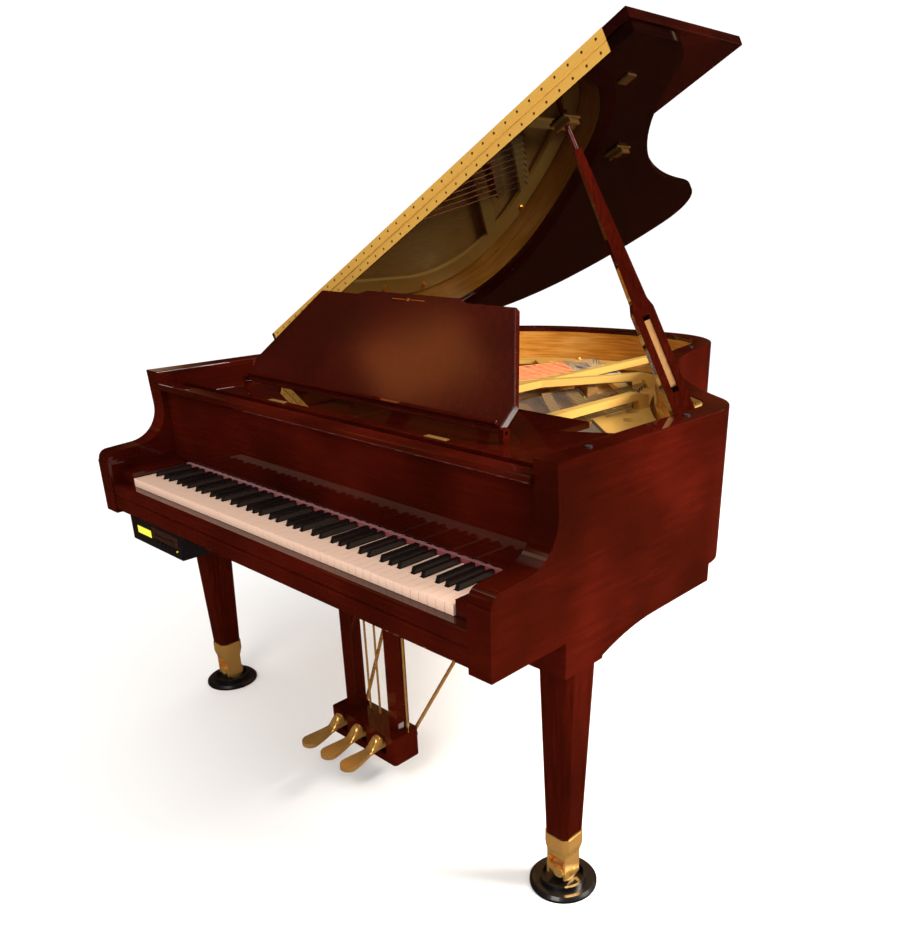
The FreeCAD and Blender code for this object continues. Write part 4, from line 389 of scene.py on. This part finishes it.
plain_back = string_backs("treble_strings")
plain_runs, bass_runs, core_runs, hitch, tuning = [], [], [], [], []
for (low, high), count in zip(SECTION_SHARES, SECTION_COUNTS):
    for number, x in enumerate(spread(low * INNER, high * INNER, count)):
        back = plain_back(at(x, 0, 0).x)
        for k in (-1, 0, 1):
            pin_y = PIN_ROW_Y + PIN_ROW_STEP * (k + 1) + PLAIN_STAGGER * (number % 2)
            start = at(x + UNISON * k, pin_y, PLAIN_Z)
            bar = at(x + UNISON * k, BAR_Y, PLAIN_Z)
            plain_runs.append([start, bar, Vector((bar.x, back, bar.z))])
            tuning.append(start + Vector((0, 0, PIN_LIFT * MM)))
        hitch.append(Vector((at(x, 0, 0).x, back - HITCH_INSET * MM, (PLAIN_Z + HITCH_LIFT) * MM)))
for number in range(BASS_COUNT):
    t = number / (BASS_COUNT - 1)
    x = INNER * (BASS_SHARES[0] + (BASS_SHARES[1] - BASS_SHARES[0]) * t)
    slant = FAN_SHARES[0] + (FAN_SHARES[1] - FAN_SHARES[0]) * t
    bridge_y = BASS_BRIDGE_Y - BASS_BRIDGE_RUN * t
    for side in (-PAIR, PAIR) if number >= SINGLES else (0,):
        pin_y = PIN_ROW_Y + PIN_ROW_STEP * (number % PIN_ROWS) + (BASS_STAGGER if side > 0 else 0)
        start = at(x + side + slant * (pin_y - BAR_Y), pin_y, BASS_Z - BASS_PIN_DROP)
        stations = (BAR_Y + CORE_START, BAR_Y + WINDING_START, bridge_y - WINDING_END,
                    bridge_y + BASS_TAIL - CORE_END)
        line = [at(x + side + slant * (y - BAR_Y), y, BASS_Z) for y in stations]
        bass_runs.append(line[1:3])
        core_runs.append([start, line[0], line[3]])
        tuning.append(start + Vector((0, 0, PIN_LIFT * MM)))
        hitch.append(line[3] - Vector((0, 0, BASS_HITCH_DROP * MM)))
strings = wires("plain_strings", plain_runs, "case", STEEL, radius=0.5, sides=6)
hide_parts("treble_strings")
wound = wires("wound_strings", bass_runs, "case", COPPER, radius=2.1, sides=10)
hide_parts("bass_strings")
wires("core_wires", core_runs, "case", STEEL, radius=0.8, sides=6)
pegs("tuning_pins", tuning, "case", NICKEL, radius=3.3, depth=24, sides=10)
pegs("hitch_pins", hitch, "case", NICKEL, radius=2, depth=16, sides=8)

# %% Plate trim: bolts with washers, and felt behind the bearing bar
PLATE_TOP = 894
BOLTS = [(x, 300 if abs(x) > 500 else 440) for x in (-600, -420, -200, 60, 220, 430, 600)]
BOLTS += [(-632, y) for y in (560, 720, 900, 1080, 1260)]
BOLTS += [(632, 560), (632, 680), (-40, 1660), (-330, 1600)]
for label, lift, radius, depth, sides in (("plate_bolts", 4, 8, 6, 6), ("bolt_washers", 0.8, 12, 2, 20)):
    spots = [at(x, y, PLATE_TOP + lift) for x, y in BOLTS]
    pegs(label, spots, "case", BRASS, radius, depth, sides)
slab("string_felt", (-574, 474, PLATE_TOP), (574, 484, PLATE_TOP + 2.4), "case", RED_FELT)

# %% [markdown]
# ## Brasswork, felts and inlay

# %% Lid fittings
FOLD_Y = 600.03
LID_HINGE = at(-740, 0, 1002)
LID_TURN = Matrix.Translation(LID_HINGE) @ Matrix.Rotation(-LID_ANGLE, 4, "Y")
for label, body, height in (("lid_leaf_screws", "lid", 13), ("flap_leaf_screws", "flap", 41)):
    spots = [LID_TURN @ (Vector((s, FOLD_Y + 0.5, height)) * MM) for s in spread(40, 1400, 36)]
    pegs(label, spots, body, DARK_BRASS_AND_SHADE, radius=2.8, depth=0.8, sides=12,
         turn=(math.pi / 2, LID_ANGLE, 0.0))
BUMPERS = ((706, 300), (706, 640), (377, 1080), (205, 1480), (-120, 1700), (-515, 1560))
BUMPER_Z = 1001.2
pegs("lid_bumpers", [at(x, y, BUMPER_Z) for x, y in BUMPERS], "case", RUBBER,
     radius=7, depth=2.6, sides=20)

# %% Desk inlay and ledge
DESK_FOOT, DESK_LEAN = at(0, 326, 984), math.radians(50)
DESK_TURN = Matrix.Translation(DESK_FOOT) @ Matrix.Rotation(DESK_LEAN, 4, "X")
# Each inlay: its ends across the desk and half its height, around one line
INLAY_Y, INLAY_LOW, INLAY_HIGH = 280, 8.0, 8.25
INLAYS = (("inlay_bass", -58, -9, 1), ("inlay_treble", 9, 58, 1), ("inlay_dot", -5, 5, 4))
for label, x0, x1, half in INLAYS:
    slab(label, (x0, INLAY_Y - half, INLAY_LOW), (x1, INLAY_Y + half, INLAY_HIGH), "desk_panel",
         GOLD_LINE, DESK_TURN)
slab("desk_ledge", (-455, 7, 8.1), (455, 15, 20), "desk_panel", MAHOGANY_FLAT, DESK_TURN,
     bevel=1.5)
TRAY_TOP = 962
# Thin wings close the tray's two notches, from its middle board out to its runners. Their slanted backs run
# along the edge of the shade on the plate behind, so each wing is partly real tray and partly a dark sheet
# of painted shade
tray_points = [((v.co.x - HOME.x) / MM, (v.co.y - HOME.y) / MM) for v in NODES["desk_tray"].data.vertices]
BOARD_BACK = 500
board_edge = max(x for x, y in tray_points if y > BOARD_BACK)
notch_front = min(y for x, y in tray_points if abs(x - board_edge) < 1)
NOTCH_STEP = 20
runner_edge = min(x for x, y in tray_points if x > board_edge + NOTCH_STEP and y > notch_front + NOTCH_STEP)
WING_GAP = 0.3
inside, outside, front = board_edge + WING_GAP, runner_edge - WING_GAP, notch_front + WING_GAP
# Painted shade: the wings' slanted back edges follow the shadow's edge on the plate
SHADE_EDGE_OUT, SHADE_EDGE_IN = 570, 480
WING = [(inside, front), (outside, front), (outside, SHADE_EDGE_OUT), (inside, SHADE_EDGE_IN)]
for label, outline in (("tray_wing_and_shade_treble", WING), ("tray_wing_and_shade_bass", [(-x, y) for x, y in WING[::-1]])):
    board(label, outline, TRAY_TOP - 10, TRAY_TOP - 0.2, "desk_tray", MAHOGANY_FLAT)
for label, x in (("tray_hinge_bass", -250), ("tray_hinge_treble", 330)):
    slab(label, (x - 32, 262, TRAY_TOP), (x + 32, 276, TRAY_TOP + 1.2), "desk_tray", BRASS,
         bevel=0.3)

# %% Key felts
slab("name_board_felt", (-606, 184.5, 745), (606, 193.5, 756), "case", RED_FELT)
slab("key_rail_cloth", (-611, 40, 708.2), (611, 80, 709.4), "action", RED_FELT)

# %% Control box face
slab("control_face", (-524, 16.9, 600), (-388, 18, 632), "case", SMOKED, bevel=0.4)
slab("control_slot", (-505, 16.2, 612), (-410, 17, 616), "case", BLACK)
slab("control_bezel", (-611, 17.2, 592), (-526, 18, 624), "case", BLACK, bevel=0.3)
pegs("control_lamp", [at(-398, 17.2, 592)], "case", SCREEN, radius=2, depth=2, sides=14,
     turn=(math.pi / 2, 0.0, 0.0))

# %% Pedal knuckles: each pedal rises to a round knuckle in front of the lyre's box
PEDAL_MIDDLE, PEDAL_STEP, KNUCKLE_FOOT = 26, 80, 110
# Depth, half width and top of each section, from the box to the paddle
KNUCKLE = ((232.5, 11.5, 138), (230, 12.6, 146), (224, 13, 151), (215, 13.2, 150), (207, 13.6, 141),
           (199, 14.2, 130), (191, 15, 122), (183, 15.5, 117.5))
SIDES = 20
RING = [2 * math.pi * k / SIDES for k in range(SIDES)]


def rounded(turn, power=0.6):
    """A place on a round-cornered square, from a turn."""
    return [math.copysign(abs(v) ** power, v) for v in (math.cos(turn), math.sin(turn))]


for k, label in ((-1, "soft"), (0, "sostenuto"), (1, "sustain")):
    verts, faces = [], []
    for y, half, top in KNUCKLE:
        x, middle, tall = PEDAL_MIDDLE + PEDAL_STEP * k, (top + KNUCKLE_FOOT) / 2, (top - KNUCKLE_FOOT) / 2
        verts += [tuple(at(x + half * c, y, middle + tall * s)) for c, s in map(rounded, RING)]
    for row in range(len(KNUCKLE) - 1):
        ring = [(row * SIDES + i, row * SIDES + (i + 1) % SIDES) for i in range(SIDES)]
        faces += [(a, b, b + SIDES, a + SIDES) for a, b in ring]
    faces += [tuple(range(SIDES))[::-1], tuple(range(len(verts) - SIDES, len(verts)))]
    mesh = bpy.data.meshes.new(f"{label}_knuckle")
    mesh.from_pydata(verts, [], faces)
    mesh.materials.append(BRASS)
    mesh.shade_smooth()
    carried(f"{label}_knuckle", mesh, f"{label}_pedal")

# %% Caster brake and caps
AXLE_TURN = (0.0, math.pi / 2, 0.0)
for label, x, radius, depth in (("brake_stem", -728, 4, 26), ("brake_knob", -744, 9, 9)):
    pegs(label, [at(x, 272, 70)], "caster_yoke_left", BRASS, radius, depth, turn=AXLE_TURN)
AXLE_HALF, AXLE_BACK, AXLE_Z = 26.6, 6, 35.3
for side, x, y in (("left", -690, 266), ("right", 690, 266), ("rear", -100, 1395)):
    ends = [at(x + AXLE_HALF * s, y + AXLE_BACK, AXLE_Z) for s in (-1, 1)]
    pegs(f"axle_caps_{side}", ends, f"caster_yoke_{side}", BRASS, radius=9, depth=1.8, sides=24,
         turn=AXLE_TURN)

# %% [markdown]
# ## Studio
# A pale floor and soft boxes. The lacquer mirrors a dark warm room with a bright ceiling and some warm
# patches, so glossy rays see neither the pale floor nor the white surround.

# %% Floor and surround
ROOM_HEX = "#2c130b"
PAPER = srgb("#f8f7f5")
FLOOR_HALF = 30.0
floor_mesh = bpy.data.meshes.new("floor")
corners = [(FLOOR_HALF * x, FLOOR_HALF * y, 0) for x, y in ((-1, -1), (1, -1), (1, 1), (-1, 1))]
floor_mesh.from_pydata(corners, [], [(0, 1, 2, 3)])
floor_finish, floor_tree, floor_shader = surface("pale_floor", "#ffffff", 0.7, Specular_IOR_Level=0.0)
floor_path = add(floor_tree, "ShaderNodeLightPath")
floor_dark = add(floor_tree, "ShaderNodeBsdfDiffuse", Color=srgb("#3a1a10"))
floor_mix = add(floor_tree, "ShaderNodeMixShader", {
    0: floor_path.outputs["Is Glossy Ray"], 1: floor_shader.outputs[0], 2: floor_dark.outputs[0]})
floor_tree.links.new(floor_mix.outputs[0], floor_tree.nodes["Material Output"].inputs[0])
floor_mesh.materials.append(floor_finish)
floor = bpy.data.objects.new("floor", floor_mesh)
bpy.context.scene.collection.objects.link(floor)

world = bpy.data.worlds.new("studio")
bpy.context.scene.world = world
world.use_nodes = True
sky = world.node_tree
sky.nodes.clear()
path = add(sky, "ShaderNodeLightPath")
seen = add(sky, "ShaderNodeBackground", Color=PAPER, Strength=1.12)
toward = add(sky, "ShaderNodeTexCoord").outputs["Generated"]
facing = add(sky, "ShaderNodeSeparateXYZ", {0: toward})
overhead = ramp(sky, facing.outputs["Z"], [(0.0, ROOM_HEX), (0.75, ROOM_HEX), (0.93, "#fff4e6")])
cloud = add(sky, "ShaderNodeTexNoise", {"Vector": toward}, Scale=3.4, Detail=1.5)
patches = ramp(sky, cloud.outputs["Fac"], [(0.56, "#000000"), (0.63, "#6a4026"), (0.7, "#ffe2bc")])
room = add(sky, "ShaderNodeVectorMath", {0: overhead, 1: patches}, operation="MAXIMUM")
mirrored = add(sky, "ShaderNodeBackground", {"Color": room.outputs[0]}, Strength=1.0)
soft_or_mirror = add(sky, "ShaderNodeMixShader", {
    0: path.outputs["Is Glossy Ray"], 1: seen.outputs[0], 2: mirrored.outputs[0]})
add(sky, "ShaderNodeOutputWorld", {0: soft_or_mirror.outputs[0]})


# %% Soft boxes and camera
def soft_box(name, place, target, width, height, power, colour):
    """A rectangular lamp in metres and watts, turned to its target and unseen by the camera."""
    light = bpy.data.lights.new(name, "AREA")
    light.shape = "RECTANGLE"
    light.size, light.size_y, light.energy = width, height, power
    light.color = srgb(colour)[:3]
    lamp = bpy.data.objects.new(name, light)
    lamp.location = place
    lamp.rotation_euler = (Vector(target) - Vector(place)).to_track_quat("-Z", "Y").to_euler()
    bpy.context.scene.collection.objects.link(lamp)
    lamp.visible_camera = False


soft_box("desk_box", (-2.1, -1.3, 3.0), (0.1, -0.45, 1.0), 0.35, 0.6, 1.4, "#ff9048")
soft_box("key_box", (1.2, -3.4, 3.4), (0, -0.6, 0.7), 1.6, 1.0, 45, "#fff6ef")
soft_box("well_box", (2.6, 0.9, 2.4), (0.0, 0.3, 0.9), 1.2, 1.0, 190, "#fffaf2")

lens = bpy.data.cameras.new("photo_view")
lens.sensor_fit = "AUTO"
lens.sensor_width = 36.0
lens.lens = 33.2164
lens.shift_x, lens.shift_y = -0.073455, 0.106729
camera = bpy.data.objects.new("photo_view", lens)
camera.location = at(1646.459, -945.566, 1407.459)
camera.rotation_euler = [math.radians(a) for a in (67.312865, 0.354017, 41.68239)]
bpy.context.scene.collection.objects.link(camera)
bpy.context.scene.camera = camera
bpy.context.scene.view_settings.view_transform = "Standard"
